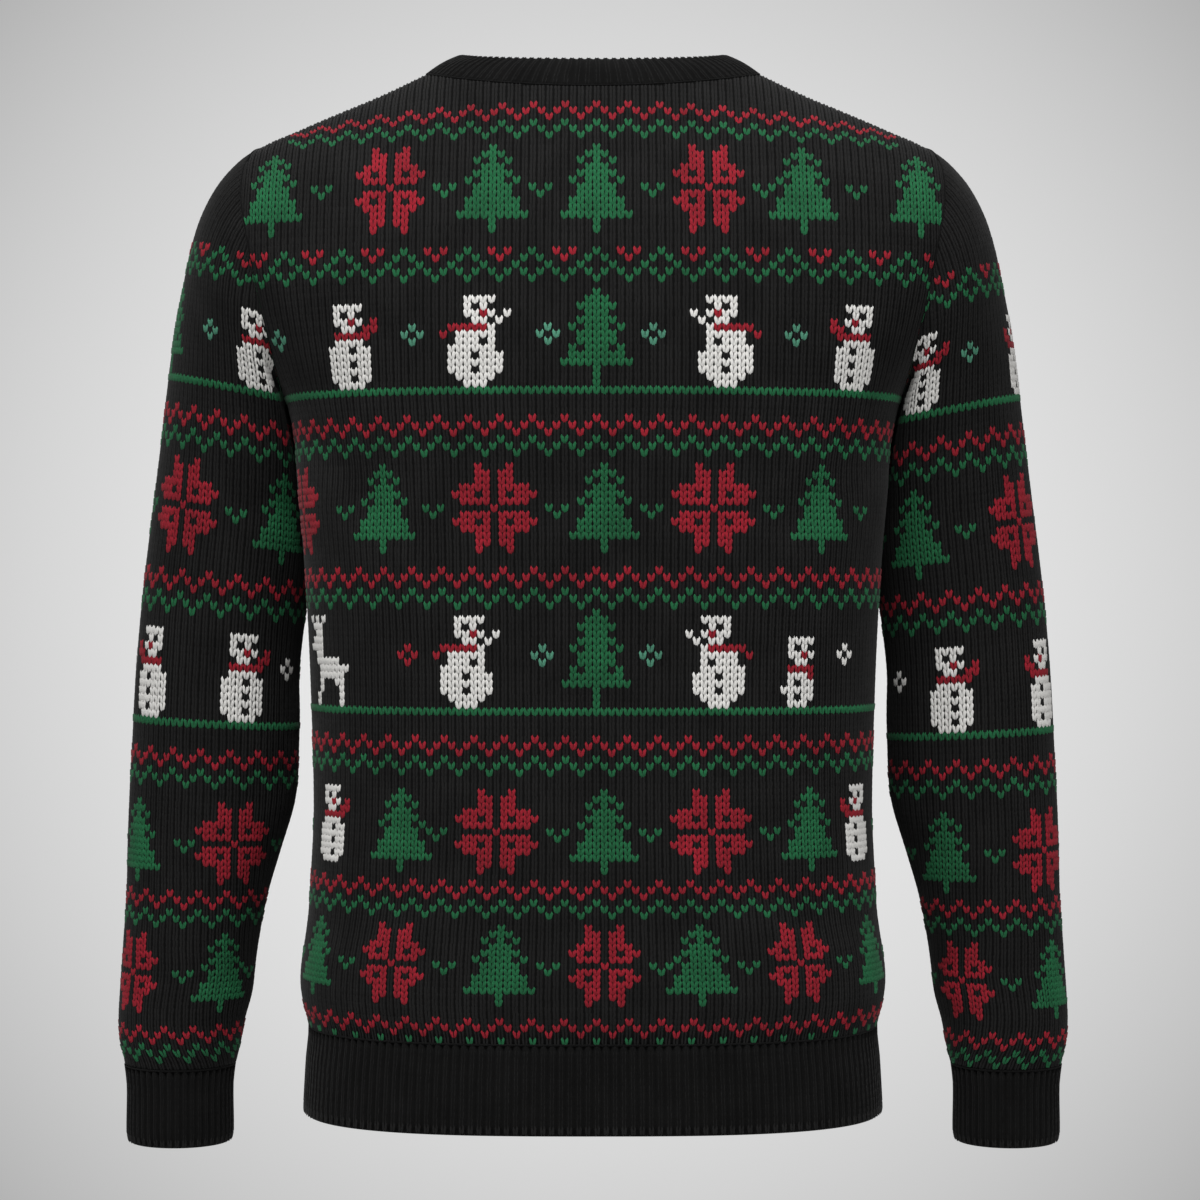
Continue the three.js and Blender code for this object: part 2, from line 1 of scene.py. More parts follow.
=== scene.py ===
# A christmas pullover in jacquard knit, seen from the back, filled out as if worn.
# The cloth is worked out in millimetres and made in metres. The back faces -Y.
# Each piece is a thin shell of cloth with its stitches knitted on it as raised loops of yarn.
import math
import bpy
import numpy as np
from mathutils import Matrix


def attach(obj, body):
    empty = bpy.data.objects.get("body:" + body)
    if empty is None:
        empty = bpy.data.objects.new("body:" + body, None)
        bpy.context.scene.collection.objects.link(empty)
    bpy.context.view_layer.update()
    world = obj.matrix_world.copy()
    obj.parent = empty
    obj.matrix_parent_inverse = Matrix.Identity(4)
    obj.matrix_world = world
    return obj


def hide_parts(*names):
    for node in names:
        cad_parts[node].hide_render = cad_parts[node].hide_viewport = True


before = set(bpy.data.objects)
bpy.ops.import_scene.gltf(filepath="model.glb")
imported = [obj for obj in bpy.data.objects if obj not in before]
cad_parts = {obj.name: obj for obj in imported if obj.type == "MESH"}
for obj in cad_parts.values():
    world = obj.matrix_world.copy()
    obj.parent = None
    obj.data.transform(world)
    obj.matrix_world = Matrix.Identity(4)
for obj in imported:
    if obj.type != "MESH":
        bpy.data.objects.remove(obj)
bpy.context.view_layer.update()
MM = 0.001
RNG = np.random.default_rng(25)


def table(names, rows):
    """A table's columns by name, as arrays."""
    return dict(zip(names.split(), np.array(rows, float).T))


# Body below and above the underarm: depths from the side seam's plane, and how square a section is
TORSO = table("z back front square", [
    (-673, 131, 129, 2.9),
    (-618, 129, 127, 2.85),
    (-602, 132, 130, 2.85),
    (-585, 133, 131, 2.8),
    (-560, 131.5, 129.5, 2.8),
    (-520, 128, 126, 2.75),
    (-475, 126, 124, 2.7),
    (-410, 125, 124, 2.65),
    (-340, 126, 127, 2.6),
    (-280, 127, 130, 2.55),
    (-216, 127.5, 131, 2.5),
    (-180, 126, 130, 2.5),
    (-145, 121, 122, 2.5),
    (-115, 113, 113, 2.45),
    (-80, 99, 98, 2.35),
    (-48.6, 82, 81, 2.2),
    (-30, 71, 70, 2.1),
    (-15, 61, 61, 2.05),
    (0, 52, 52, 2),
])

# The panels' side edge: side seam, then armhole, then shoulder seam
SIDE_EDGE = table("z x", [
    (-673, 188),
    (-640, 186.2),
    (-618, 184.5),
    (-604, 188),
    (-590, 190),
    (-570, 188.8),
    (-541, 185),
    (-508, 182.6),
    (-475, 181.6),
    (-410, 183.3),
    (-344, 186.3),
    (-280, 191),
    (-246, 194.5),
    (-216, 200),
    (-205, 201.6),
    (-180, 206),
    (-145, 213),
    (-115, 219),
    (-95, 223),
    (-78, 224.5),
    (-62, 223),
    (-48.6, 216.5),
    (-40, 198),
    (-30, 175.7),
    (-15, 140.6),
    (0, 109.5),
])

# A sleeve's sections: outer and inner points, half depth, how far forward its middle hangs, and how
# much of the armhole's own outline it still keeps
SLEEVE = table("out_x out_z in_x in_z depth forward keep", [
    (216.5, -48.6, 200, -216, 74, 0, 1),
    (227.2, -56, 201, -213.5, 73.5, 0, 0.85),
    (240.9, -70, 202, -214, 72.5, 1, 0.65),
    (252.9, -89, 199, -219, 71, 2, 0.45),
    (261.8, -111, 194, -228.5, 69, 5, 0.28),
    (268.6, -136, 189, -241, 66, 10, 0.14),
    (275.6, -166, 185.5, -258, 63, 16, 0.05),
    (281, -199, 184, -278, 60, 22, 0),
    (286.2, -236, 184.5, -301, 57.5, 28, 0),
    (292, -276, 187.5, -327, 55.5, 34, 0),
    (298, -318, 192.5, -355, 54, 39, 0),
    (303.2, -360, 196.3, -386, 52.8, 44, 0),
    (306.8, -400, 196.6, -417, 52, 47, 0),
    (309, -438, 197.3, -448, 51.3, 49, 0),
    (311.2, -474, 200.6, -479, 50.3, 51, 0),
    (312.8, -508, 210.3, -511, 48.3, 53, 0),
    (313.7, -542, 220, -544, 46.3, 54, 0),
    (316.2, -576, 226.2, -577, 45, 55, 0),
    (318.4, -606, 229.6, -606, 44.8, 56, 0),
    (319.3, -626, 235, -626, 43.5, 56, 0),
    (318.2, -641, 237.7, -641, 41, 56, 0),
    (316, -650, 239.8, -650, 38.5, 56, 0),
    (315, -656, 241.3, -656, 37, 56, 0),
])

# Folds of the panels: soft troughs (minus) and ridges along lines, on the back (-1) or the front (1)
FOLDS = table("side x0 z0 x1 z1 width depth", [
    (-1, -188, -232, -120, -300, 17, -3.5),
    (-1, 186, -236, 118, -310, 17, -3.5),
    (-1, -178, -262, -96, -352, 20, 2.5),
    (-1, 176, -268, 92, -360, 20, 2.5),
    (-1, -182, -560, -110, -520, 18, -2.5),
    (-1, 182, -556, 104, -516, 18, -2.5),
    (1, -186, -236, -112, -318, 18, -3.8),
    (1, 188, -232, 120, -304, 17, -3.4),
    (1, -170, -272, -88, -366, 21, 2.6),
    (1, 174, -262, 98, -350, 20, 2.4),
    (1, -180, -552, -100, -512, 19, -2.6),
    (1, 180, -562, 112, -524, 18, -2.4),
])
FOLD_WAVE = (0.15, 0.85)

# Folds of the sleeves, across the arm: height, the way they face (degrees from the outer line, by the
# back), half width up the arm, spread round it in degrees, and depth
SLEEVE_FOLDS = table("z turn width spread depth", [
    (-282, 140, 20, 42, -4),
    (-306, 222, 22, 46, -4.5),
    (-402, 262, 19, 58, -5),
    (-440, 248, 18, 52, -4),
    (-470, 120, 20, 40, -2.5),
    (-592, 96, 15, 48, -2.6),
    (-598, 275, 15, 55, -3),
])

# Main heights and sizes
WALL = 2.6
SEAM_GAP = 0.3
HEM_BOTTOM = -674
HEM_SEAM = -618
UNDERARM = -216
SHOULDER_POINT = -48.6
ARMHOLE_DEPTH = 74
REST_GAP = 1.6
REST_BLEND = 3
CUFF_TOP = -656
CUFF_BOTTOM = -708
CUFF_MIDDLE = (278.4, 56)
CUFF = table("z half depth", [
    (-708, 34.5, 34.8),
    (-702, 35.5, 35.8),
    (-670, 35.3, 35.6),
    (-656.3, 36.8, 36.8),
])
NECK_HALF_WIDTH = 109.5
NECK_DROP = {-1: 16.5, 1: 85}
NECK_DIP_POWER = 1.3
NECK_SIDE_EDGE = (0.78, 13.4)
NECK_EDGE = {-1: (0.735, 21), 1: (0.835, 23)}
NECK_BULGE = (1.2, 3.2)
NECK_SEAM_GAP = 0.5
NECK_STEP = 0.004

# Where the courses of knitting lie on the body, counted down from the first zigzag's peaks. Above the
# yoke line they follow the cloth over the shoulders
COURSES = table("course z", [
    (22, -125.4),
    (46, -229.8),
    (68, -323.6),
    (92, -427.9),
    (114, -516.9),
    (136, -601.5),
    (140, -617.7),
])
YOKE_COURSE = 22
YOKE_Z = -125.4
YOKE_PITCH = 4.97
LAST_COURSE = 140
FIRST_COURSE = -12
WALES = 108
WALE_PITCH = 4.85
COURSE_PITCH = 4.4

# Sleeves: how much higher than the body's their courses lie at heights down the arm, on the left and
# the right of the picture, and how they slope up to the outer line
SLEEVE_COURSES = table("z left right slope", [
    (-601.5, -24.4, -28.8, 0),
    (-517, -18.8, -25.1, 0.03),
    (-428, -14.1, -20.6, 0.05),
    (-324, -2.7, -13, 0.11),
    (-230, 7, -6.5, 0.21),
    (-125, 10.4, -2, 0.3),
])
SLEEVE_ANCHOR_COURSE = 42
SLEEVE_FIRST_COURSE = -10
SLEEVE_LAST_COURSE = 152
SLEEVE_WALES = 88

# A stitch's two legs, each from its wale's middle outwards: stations up the leg with the leg's middle
# and half width in wales, its place up the course, and the height of its crest and sides in mm. The
# coloured yarns lie full, the ground's stand steeper and leave a groove between the wales
MOTIF_LEG = table("across up half crest side", [
    (0.09, -0.2, 0.0, -0.4, -0.5),
    (0.17, 0.08, 0.19, 0.6, -0.45),
    (0.29, 0.86, 0.225, 0.8, -0.45),
    (0.34, 1.2, 0.0, -0.4, -0.5),
])
GROUND_LEG = table("across up half crest side", [
    (0.18, -0.3, 0.0, 0.0, -0.6),
    (0.185, 0.05, 0.17, 0.3, -0.6),
    (0.215, 0.8, 0.19, 0.38, -0.6),
    (0.225, 1.3, 0.0, 0.0, -0.6),
])
SHELL_SINK = 0.45
STITCH_JITTER = 0.03
STITCH_LIFT = (0.86, 1.1)
LEAST_ROOM = 0.25
UV_MARGIN = 2

# Steps of the panels' shells
PANEL_COLUMNS = 72
PANEL_ROWS_BELOW = 44
PANEL_ROWS_ABOVE = 30
YOKE_STEPS = 160

# Ribbed bands: height of a rib over its base, how deep its groove lies, and its stitches
RIB_RISE = 2.2
RIB_SINK = 1.7
RIB_STITCH_RISE = 1.2
RIB_NARROW = 0.72
RIB_STITCHES = (0.03, 0.94)
HEM_RIBS = 192
CUFF_RIBS = 44
NECK_RIBS = 96
RIB_ROLL = 0.08
RIB_POINTS = 4
RIB_ROUNDNESS = 0.8
CORD = 0.6

# Stage, in metres: a floor well below, and a backdrop whose glow, less towards its edges, is a painted pool
# of light
FLOOR_SIZE = 14
FLOOR_HEIGHT = -1.75
FLOOR_GREY = 0.72
BACKDROP_SIZE = 9
BACKDROP_PLACE = (0, 3.2, -0.344)
BACKDROP_GLOW = (0.84, 0.08)
BACKDROP_REACH = 4

# Lights: name, place, the point each faces, width and height, and power
LIGHTS = [
    ("key_light", (-0.5, -1.7, 2.1), (0, 0, -0.2), (1.8, 1.4), 90),
    ("fill_light", (1.6, -2.4, 0.6), (0, 0, -0.3), (1.4, 1.8), 19),
    ("low_light", (0, -2.6, -1.0), (0, 0, -0.4), (2.0, 0.8), 3),
    ("back_light", (0, 2.4, 1.4), (0, 0, -0.3), (2.4, 1.2), 14),
]
WORLD_GREY = 0.75
WORLD_STRENGTH = 0.45
CAMERA_PLACE = (0.0046, -2.05, -0.344)
CAMERA_LENS = 93.7
CAMERA_SENSOR = 36

# Colours of the yarns, as linear values
BLACK = (0.0082, 0.0081, 0.008)
RED = (0.225, 0.008, 0.017)
GREEN = (0.009, 0.092, 0.034)
WHITE = (0.6, 0.59, 0.57)
SAGE = (0.06, 0.2, 0.13)
YARNS = "krgws"


# Charts, a letter for each stitch: k ground, r red, g green, w white, s grey-green
TREE = """
....g....
...ggg...
..g.g.g..
...ggg...
..ggggg..
.g.ggg.g.
..ggggg..
..ggggg..
.ggggggg.
.ggggggg.
ggggggggg
....g....
....g....
"""
TALL_TREE = """
....g....
...ggg...
..ggggg..
...ggg...
..ggggg..
.g.ggg.g.
..ggggg..
..ggggg..
.g.ggg.g.
.ggggggg.
ggggggggg
....g....
....g....
....g....
"""
STAR = """
...r...r...
...rr.rr...
...rr.rr...
.rrrr.rrrr.
rrr.r.r.rrr
.rrrr.rrrr.
.....r.....
.rrrr.rrrr.
rrr.r.r.rrr
.rrrr.rrrr.
...rr.rr...
...rr.rr...
...r...r...
"""
SMALL_STAR = """
..r...r..
..rr.rr..
..rr.rr..
.rrr.rrr.
rr.r.r.rr
.rrr.rrr.
....r....
.rrr.rrr.
rr.r.r.rr
.rrr.rrr.
..rr.rr..
..rr.rr..
..r...r..
"""
SNOWMAN = """
..wwww..
..wkwk..
..wwrw.r
...ww.rr
..rrrrr.
..wwww..
.wwwkww.
.wwwwww.
.wwwkww.
.wwwwww.
.wwwkww.
..wwww..
"""
WAVING_SNOWMAN = """
...wwww..
...wkwk..
...wwrw.w
....ww.w.
.rrrrrw..
r.wwwww..
..wwwkw..
.wwwwww..
.wwwkwww.
.wwwwwww.
.wwwkwww.
..wwwww..
...www...
"""
SMALL_SNOWMAN = """
.wwww.
.wkwk.
.wwrw.
..ww..
.rrrr.
.wwwr.
.wkww.
wwwww.
.wkww.
.www..
"""
DEER = """
w.w.w.....
.www......
..ww......
.www......
wwww......
..ww......
..wwwwww..
...wwwwwww
...wwwwww.
...w...ww.
...w....w.
..w.....w.
..w.....w.
"""
VEE = """
g.g
.g.
"""
DIAMOND = """
.s.
s.s
.s.
"""
WHITE_DIAMOND = DIAMOND.replace("s", "w")
RED_DIAMOND = DIAMOND.replace("s", "r")


def turned(chart):
    """A chart seen the other way round."""
    return "\n".join(line[::-1] for line in chart.split())


# Repeats that run all the way round, with the yarn and the place of each stitch in one period
ZIGZAG = """
r...
.r.r
..r.
g...
.g.g
..g.
"""
LATTICE = """
g..r.r..
.g..r..g
..g...g.
.g.g.g.g
g...g...
"""
LINE = "g"

# Bands of the body: the course where each starts, its border and its motifs, with their places in
# courses from the band's start and in wales from the middle
BANDS = [
    (0, ZIGZAG, [(TREE, 7, (-42, -12.5, 1, 26.5, 42.5)), (SMALL_STAR, 7, (-25, 14.5)),
                 (VEE, 13, (-35, -18.5, -6, 7, 21, 34))]),
    (22, LATTICE, [(SNOWMAN, 8, (-31,)), (turned(SNOWMAN), 8, (34,)), (WAVING_SNOWMAN, 7, (-14.5,)),
                   (turned(WAVING_SNOWMAN), 7, (16.5,)), (TALL_TREE, 6, (1,)),
                   (DIAMOND, 11, (-23, -5.5, 7.5, 25.5, -42)), (LINE, 20, None)]),
    (46, ZIGZAG, [(TREE, 7, (-27, 1.6, 30)), (STAR, 7, (-44.5, -12.5, 16)),
                  (VEE, 13, (-33.4, -20, -5, 8, 23.5, 37))]),
    (68, ZIGZAG, [(DEER, 7, (-38.5,)), (WAVING_SNOWMAN, 7, (-16.6,)), (turned(WAVING_SNOWMAN), 7, (16.5,)),
                  (TALL_TREE, 6, (0.5,)), (SMALL_SNOWMAN, 10, (28,)), (RED_DIAMOND, 11, (-24.5,)),
                  (DIAMOND, 11, (-6.5, 8)), (WHITE_DIAMOND, 11, (36,)), (LINE, 20, None)]),
    (92, ZIGZAG, [(TREE, 8, (-26, 1.5, 29.6)), (STAR, 8, (-12.5, 15.5)), (SNOWMAN, 8, (-38,)),
                  (turned(SNOWMAN), 8, (39,)), (VEE, 14, (-48, -20.6, -5, 8, 23.6, 48))]),
    (114, ZIGZAG, [(TREE, 7, (-40, -11.5, 13.5, 41)), (SMALL_STAR, 7, (-25.5, 1.5, 26.5)),
                   (VEE, 13, (-47, -33, -18.5, -5.5, 8.6, 19.6, 34, 48))]),
    (136, ZIGZAG, []),
]

# The first border runs out over the shoulders at this many wales from the middle
FIRST_BORDER_REACH = 40

# Bands of the sleeves, likewise, with places in wales from the outer line towards the back
SLEEVE_BANDS = {
    -1: [
        (22, LATTICE, [(TALL_TREE, 6, (5, -27)), (DIAMOND, 11, (15.5, -4, -19, 31)), (SNOWMAN, 8, (23, -11)),
                       (LINE, 20, None)]),
        (46, ZIGZAG, [(STAR, 7, (11.5, -16)), (TREE, 7, (26.6, -2, -30)), (VEE, 13, (19.5, 3, -9, -23, 34))]),
        (68, ZIGZAG, [(turned(SNOWMAN), 8, (8.5,)), (SNOWMAN, 8, (21.5, -24)), (TALL_TREE, 6, (-8,)),
                      (WHITE_DIAMOND, 11, (29.5, 0.5)), (DIAMOND, 11, (-16, -32)), (LINE, 20, None)]),
        (92, ZIGZAG, [(TREE, 8, (7, -20)), (STAR, 8, (22, -6)), (VEE, 14, (14.5, 0, -13, 30, -27))]),
        (114, ZIGZAG, [(SMALL_STAR, 7, (7, -22)), (TREE, 7, (20, -8)), (VEE, 13, (14.5, -1, -15, 26))]),
        (136, ZIGZAG, []),
    ],
    1: [
        (22, LATTICE, [(SNOWMAN, 8, (4, -27)), (DIAMOND, 11, (16.5, -4, -19)),
                       (turned(SNOWMAN), 8, (24,)), (TALL_TREE, 6, (-12,)), (LINE, 20, None)]),
        (46, ZIGZAG, [(STAR, 7, (8.5, -21)), (TREE, 7, (24.5, -7)), (VEE, 13, (17.5, 0, -14, 32, -28))]),
        (68, ZIGZAG, [(SNOWMAN, 8, (6,)), (turned(SNOWMAN), 8, (20.8, -25)), (TALL_TREE, 6, (-9,)),
                      (WHITE_DIAMOND, 11, (29,)), (DIAMOND, 11, (-2, -17)), (LINE, 20, None)]),
        (92, ZIGZAG, [(STAR, 8, (7, -22)), (TREE, 8, (22, -8)), (VEE, 14, (15.6, -1, -15, 29))]),
        (114, ZIGZAG, [(TREE, 7, (6, -22)), (SMALL_STAR, 7, (20.4, -8)), (VEE, 13, (13.6, -2, -15, 28))]),
        (136, ZIGZAG, []),
    ],
}


def through(at, value):
    """A smooth curve through a table's points, as a function of the first column."""
    index = np.arange(len(at))
    lower = np.maximum(index - 1, 0)
    upper = np.minimum(index + 1, len(at) - 1)
    slope = (value[upper] - value[lower]) / (at[upper] - at[lower])

    def curve(t):
        t = np.asarray(t, float)
        i = np.clip(np.searchsorted(at, t) - 1, 0, len(at) - 2)
        span = at[i + 1] - at[i]
        s = np.clip((t - at[i]) / span, 0, 1)
        rise = s * s * (3 - 2 * s)
        bend = slope[i] * (s**3 - 2 * s * s + s) + slope[i + 1] * (s**3 - s * s)
        return value[i] * (1 - rise) + value[i + 1] * rise + span * bend

    return curve


depth_back = through(TORSO["z"], TORSO["back"])
depth_front = through(TORSO["z"], TORSO["front"])
squareness = through(TORSO["z"], TORSO["square"])
side_edge = through(SIDE_EDGE["z"], SIDE_EDGE["x"])
course_height = through(COURSES["course"], COURSES["z"])


def unit(vectors):
    """Vectors of length one."""
    length = np.linalg.norm(vectors, axis=-1, keepdims=True)
    return vectors / np.maximum(length, 1e-9)


def body_depth(z, side):
    """Depth of the back (side -1) or the front (side 1) at a height."""
    return np.where(np.asarray(side) < 0, depth_back(z), depth_front(z))


def armhole_depth(z):
    """Half of the armhole's width from back to front at a height."""
    middle = (UNDERARM + SHOULDER_POINT) / 2
    share = (np.asarray(z, float) - middle) / ((SHOULDER_POINT - UNDERARM) / 2)
    return ARMHOLE_DEPTH * np.sqrt(np.clip(1 - share * share, 0, 1))


def body_half_width(z, side):
    """Half width of the body's section, which runs on past the panel's edge beside the armhole."""
    n = squareness(z)
    share = armhole_depth(z) / body_depth(z, side)
    return side_edge(z) / (1 - share**n) ** (1 / n)


def body_field(place, side):
    """A value that is 1 on the body's section, less inside it and more outside."""
    x, y, z = np.moveaxis(place, -1, 0)
    n = squareness(z)
    return (np.abs(x) / body_half_width(z, side)) ** n + (np.abs(y) / body_depth(z, side)) ** n


def body_normal(place, side):
    """Outward normals of the body, from the slopes of its field."""
    step = 0.05
    slopes = [body_field(place + move, side) - body_field(place - move, side) for move in np.eye(3) * step]
    return unit(np.stack(slopes, -1))


def fold_at(x, z, side):
    """How far the folds move a point of a panel outwards."""
    total = np.zeros(np.broadcast(x, z).shape)
    for where, x0, z0, x1, z1, width, depth in zip(*FOLDS.values()):
        dx, dz = x1 - x0, z1 - z0
        held = np.clip(((x - x0) * dx + (z - z0) * dz) / (dx * dx + dz * dz), 0, 1)
        away = np.hypot(x - x0 - held * dx, z - z0 - held * dz)
        taper = np.sin(math.pi * (FOLD_WAVE[0] + (FOLD_WAVE[1] - FOLD_WAVE[0]) * held))
        total += np.where(np.asarray(side) == where, depth * taper * np.exp(-((away / width) ** 2)), 0)
    return total


def body_place(x, z, side):
    """Points of the body at x and z, with their outward normals, without folds."""
    x, z = np.broadcast_arrays(np.asarray(x, float), np.asarray(z, float))
    n = squareness(z)
    share = np.minimum(1, np.abs(x) / body_half_width(z, side))
    y = side * body_depth(z, side) * (1 - share**n) ** (1 / n)
    place = np.stack([x, y, z], -1)
    return place, body_normal(place, side)


def body_folded(x, z, side):
    """Points of the body with its folds, faded out towards the seams."""
    place, normal = body_place(x, z, side)
    return place + normal * fold_at(x, z, side)[..., None], normal


def quarter_section(z, side, steps=240):
    """Lengths along the body's section from its middle to its side, and the x of each."""
    angle = np.linspace(0, math.pi / 2, steps)
    x = body_half_width(z, side) * np.sin(angle)
    n = squareness(z)
    y = body_depth(z, side) * (1 - np.sin(angle) ** n) ** (1 / n)
    lengths = np.concatenate([[0], np.cumsum(np.hypot(np.diff(x), np.diff(y)))])
    return lengths, x


def top_height(x, side):
    """Height of the panel's top edge above a place across it: neckline, then shoulder seam."""
    x = np.abs(x)
    share = np.clip(1 - (x / NECK_HALF_WIDTH) ** 2, 0, 1)
    neck = -NECK_DROP[side] * share ** (NECK_DIP_POWER / 2)
    heights = np.linspace(0, SHOULDER_POINT, 60)
    shoulder = np.interp(x, side_edge(heights), heights)
    return np.where(x < NECK_HALF_WIDTH, neck, shoulder)


def knit_panel(side):
    """Corners of a panel's stitches, as a grid of points and normals from the hem seam up."""
    half = WALES // 2
    wale = np.arange(-half, half + 1)
    away = np.abs(wale) / half
    sign = np.sign(wale)
    places = []
    underarm_lengths, _ = quarter_section(UNDERARM, side)
    for course in range(LAST_COURSE, YOKE_COURSE - 1, -1):
        z = float(course_height(course))
        lengths, x = quarter_section(z, side)
        whole = lengths[-1] if z <= UNDERARM else underarm_lengths[-1]
        free = np.interp(away * whole, lengths, x)
        places.append(np.stack([sign * np.minimum(free, side_edge(z)), np.full(wale.shape, z)], -1))
    # Above the yoke line each wale goes on up the cloth from its place in the last course
    yoke = np.zeros((YOKE_COURSE - FIRST_COURSE, len(wale), 2))
    wanted = YOKE_PITCH * np.arange(1, len(yoke) + 1)
    for i, reach in enumerate(free):
        top = float(top_height(min(reach, float(side_edge(SHOULDER_POINT))), side))
        z = np.linspace(YOKE_Z, top, YOKE_STEPS)
        x = np.minimum(reach, side_edge(z))
        path = body_place(x, z, side)[0]
        lengths = np.concatenate([[0], np.cumsum(np.linalg.norm(np.diff(path, axis=0), axis=1))])
        yoke[:, i, 0] = sign[i] * np.interp(wanted, lengths, x)
        yoke[:, i, 1] = np.interp(wanted, lengths, z)
    places = np.concatenate([np.array(places), yoke])
    return body_folded(places[..., 0], places[..., 1], side)


def put(grid, chart, top, left):
    """Writes a chart's stitches into a grid of yarns, cut at the grid's edges."""
    for down, line in enumerate(chart.split()):
        for across, letter in enumerate(line):
            row, column = top + down, left + across
            if letter != "." and 0 <= row < grid.shape[0] and 0 <= column < grid.shape[1]:
                grid[row, column] = YARNS.index(letter)


def band_chart(bands, first_course, last_course, wales, reach=0):
    """The yarn of each stitch, a row for each course from the top down."""
    grid = np.zeros((last_course - first_course, wales), int)
    for start, border, motifs in bands:
        top = start - first_course
        border_rows = border.split()
        period = len(border_rows[0])
        for left in range(-period + (wales // 2) % period, wales, period):
            put(grid, border, top, left)
        if start == 0:
            past_reach = np.abs(np.arange(wales) + 0.5 - wales / 2) > reach
            grid[:top + len(border_rows), past_reach] = 0
        for chart, down, places in motifs:
            if places is None:
                grid[top + down] = YARNS.index(chart)
                continue
            width = len(chart.split()[0])
            for place in places:
                put(grid, chart, top + down, round(wales / 2 + place - width / 2))
    return grid


def sleeve_surface(steps_along=7, steps_round=96):
    """Dense points and normals of the right sleeve: sections down the arm, and angles round it from
    the outer line by the back."""
    rows = np.arange(len(SLEEVE["out_x"]), dtype=float)
    along = np.linspace(0, rows[-1], steps_along * int(rows[-1]) + 1)
    out_x, out_z, in_x, in_z, depth, forward, keep = [
        through(rows, column)(along)[:, None] for column in SLEEVE.values()
    ]
    angle = np.linspace(0, 2 * math.pi, steps_round + 1)[None, :]
    x = (out_x + in_x) / 2 + (out_x - in_x) / 2 * np.cos(angle)
    z = (out_z + in_z) / 2 + (out_z - in_z) / 2 * np.cos(angle)
    y = forward - depth * np.sin(angle)
    height = (SHOULDER_POINT - UNDERARM) / 2
    armhole_x = side_edge(UNDERARM + height + height * np.cos(angle))
    first_x = (out_x[0] + in_x[0]) / 2 + (out_x[0] - in_x[0]) / 2 * np.cos(angle)
    x = x + keep * (armhole_x - first_x)
    place = np.stack(np.broadcast_arrays(x, y, z), -1)
    middle = np.stack(np.broadcast_arrays((out_x + in_x) / 2, forward, (out_z + in_z) / 2), -1)
    place = place + unit(place - middle) * sleeve_fold_at(angle, place[..., 2])[..., None]
    place[1:] = clear_of_body(place[1:])
    down = np.gradient(place, axis=0)
    round_it = np.empty_like(place)
    round_it[:, 1:-1] = place[:, 2:] - place[:, :-2]
    round_it[:, 0] = round_it[:, -1] = place[:, 1] - place[:, -2]
    normal = unit(np.cross(round_it, down))
    return place, -normal if (normal[0, 0, 2] < 0) else normal


def sleeve_fold_at(angle, z):
    """How far the folds move a point of a sleeve outwards."""
    total = np.zeros(np.broadcast(angle, z).shape)
    for height, turn, width, spread, depth in zip(*SLEEVE_FOLDS.values()):
        up = (z - height) / width
        around = (np.degrees(angle) - turn) / spread
        total += depth * np.exp(-up * up - around * around)
    return total


def clear_of_body(place):
    """Moves a sleeve's points off the body's side, which the sleeve rests against under the arm."""
    x, y, z = np.moveaxis(place, -1, 0)
    side = np.where(y < 0, -1, 1)
    n = squareness(z)
    share = np.minimum(1, np.abs(y) / body_depth(z, side))
    body = body_half_width(z, side) * (1 - share**n) ** (1 / n)
    over = x - body - np.maximum(0, fold_at(x, z, side)) - REST_GAP
    moved = x + np.where(z > UNDERARM, 0, (np.hypot(over, REST_BLEND) - over) / 2)
    return np.stack([moved, y, z], -1)


def sleeve_course_rows(place, side):
    """Where each course lies on a sleeve: part rows of its surface at each angle, from the cuff up."""
    heights = place[..., 2]
    middle_x = (place[:, :1, 0] + place[:, place.shape[1] // 2, 0][:, None]) / 2
    slope = np.interp(heights, SLEEVE_COURSES["z"], SLEEVE_COURSES["slope"])
    level = np.minimum.accumulate(heights - slope * (place[..., 0] - middle_x), axis=0)
    count = np.arange(len(level), dtype=float)
    anchor = sleeve_level(SLEEVE_ANCHOR_COURSE, side)
    steps = np.cumsum(np.linalg.norm(np.diff(place, axis=0), axis=2), axis=0)
    lengths = np.concatenate([np.zeros((1, level.shape[1])), steps])
    columns = range(level.shape[1])
    start = [np.interp(-anchor, -level[:, i], lengths[:, i]) for i in columns]
    rows = []
    for course in range(SLEEVE_LAST_COURSE, SLEEVE_FIRST_COURSE - 1, -1):
        if course >= SLEEVE_ANCHOR_COURSE:
            wanted = sleeve_level(course, side)
            rows.append([np.interp(-wanted, -level[:, i], count) for i in columns])
        else:
            up = (SLEEVE_ANCHOR_COURSE - course) * COURSE_PITCH
            rows.append([np.interp(start[i] - up, lengths[:, i], count) for i in columns])
    return np.array(rows)


def knit_sleeve(surface, side):
    """Corners of a sleeve's stitches, from the cuff seam up, on the right sleeve's surface."""
    place, normal = surface
    corners, normals = [], []
    angles = np.arange(place.shape[1], dtype=float)
    half = SLEEVE_WALES // 2
    wale = np.arange(-half, half + 1)
    for row in sleeve_course_rows(place, side):
        line = pick(place, row, angles)
        lengths_round = np.concatenate([[0], np.cumsum(np.linalg.norm(np.diff(line, axis=0), axis=1))])
        whole = lengths_round[-1]
        inner = np.interp(place.shape[1] // 2, angles, lengths_round)
        by_back = np.minimum(wale * WALE_PITCH, inner)
        by_front = np.maximum(whole + wale * WALE_PITCH, inner)
        turn = np.interp(np.where(wale >= 0, by_back, by_front), lengths_round, angles)
        down = np.interp(turn, angles, row)
        corners.append(pick(place, down, turn))
        normals.append(unit(pick(normal, down, turn)))
    return np.array(corners), np.array(normals)


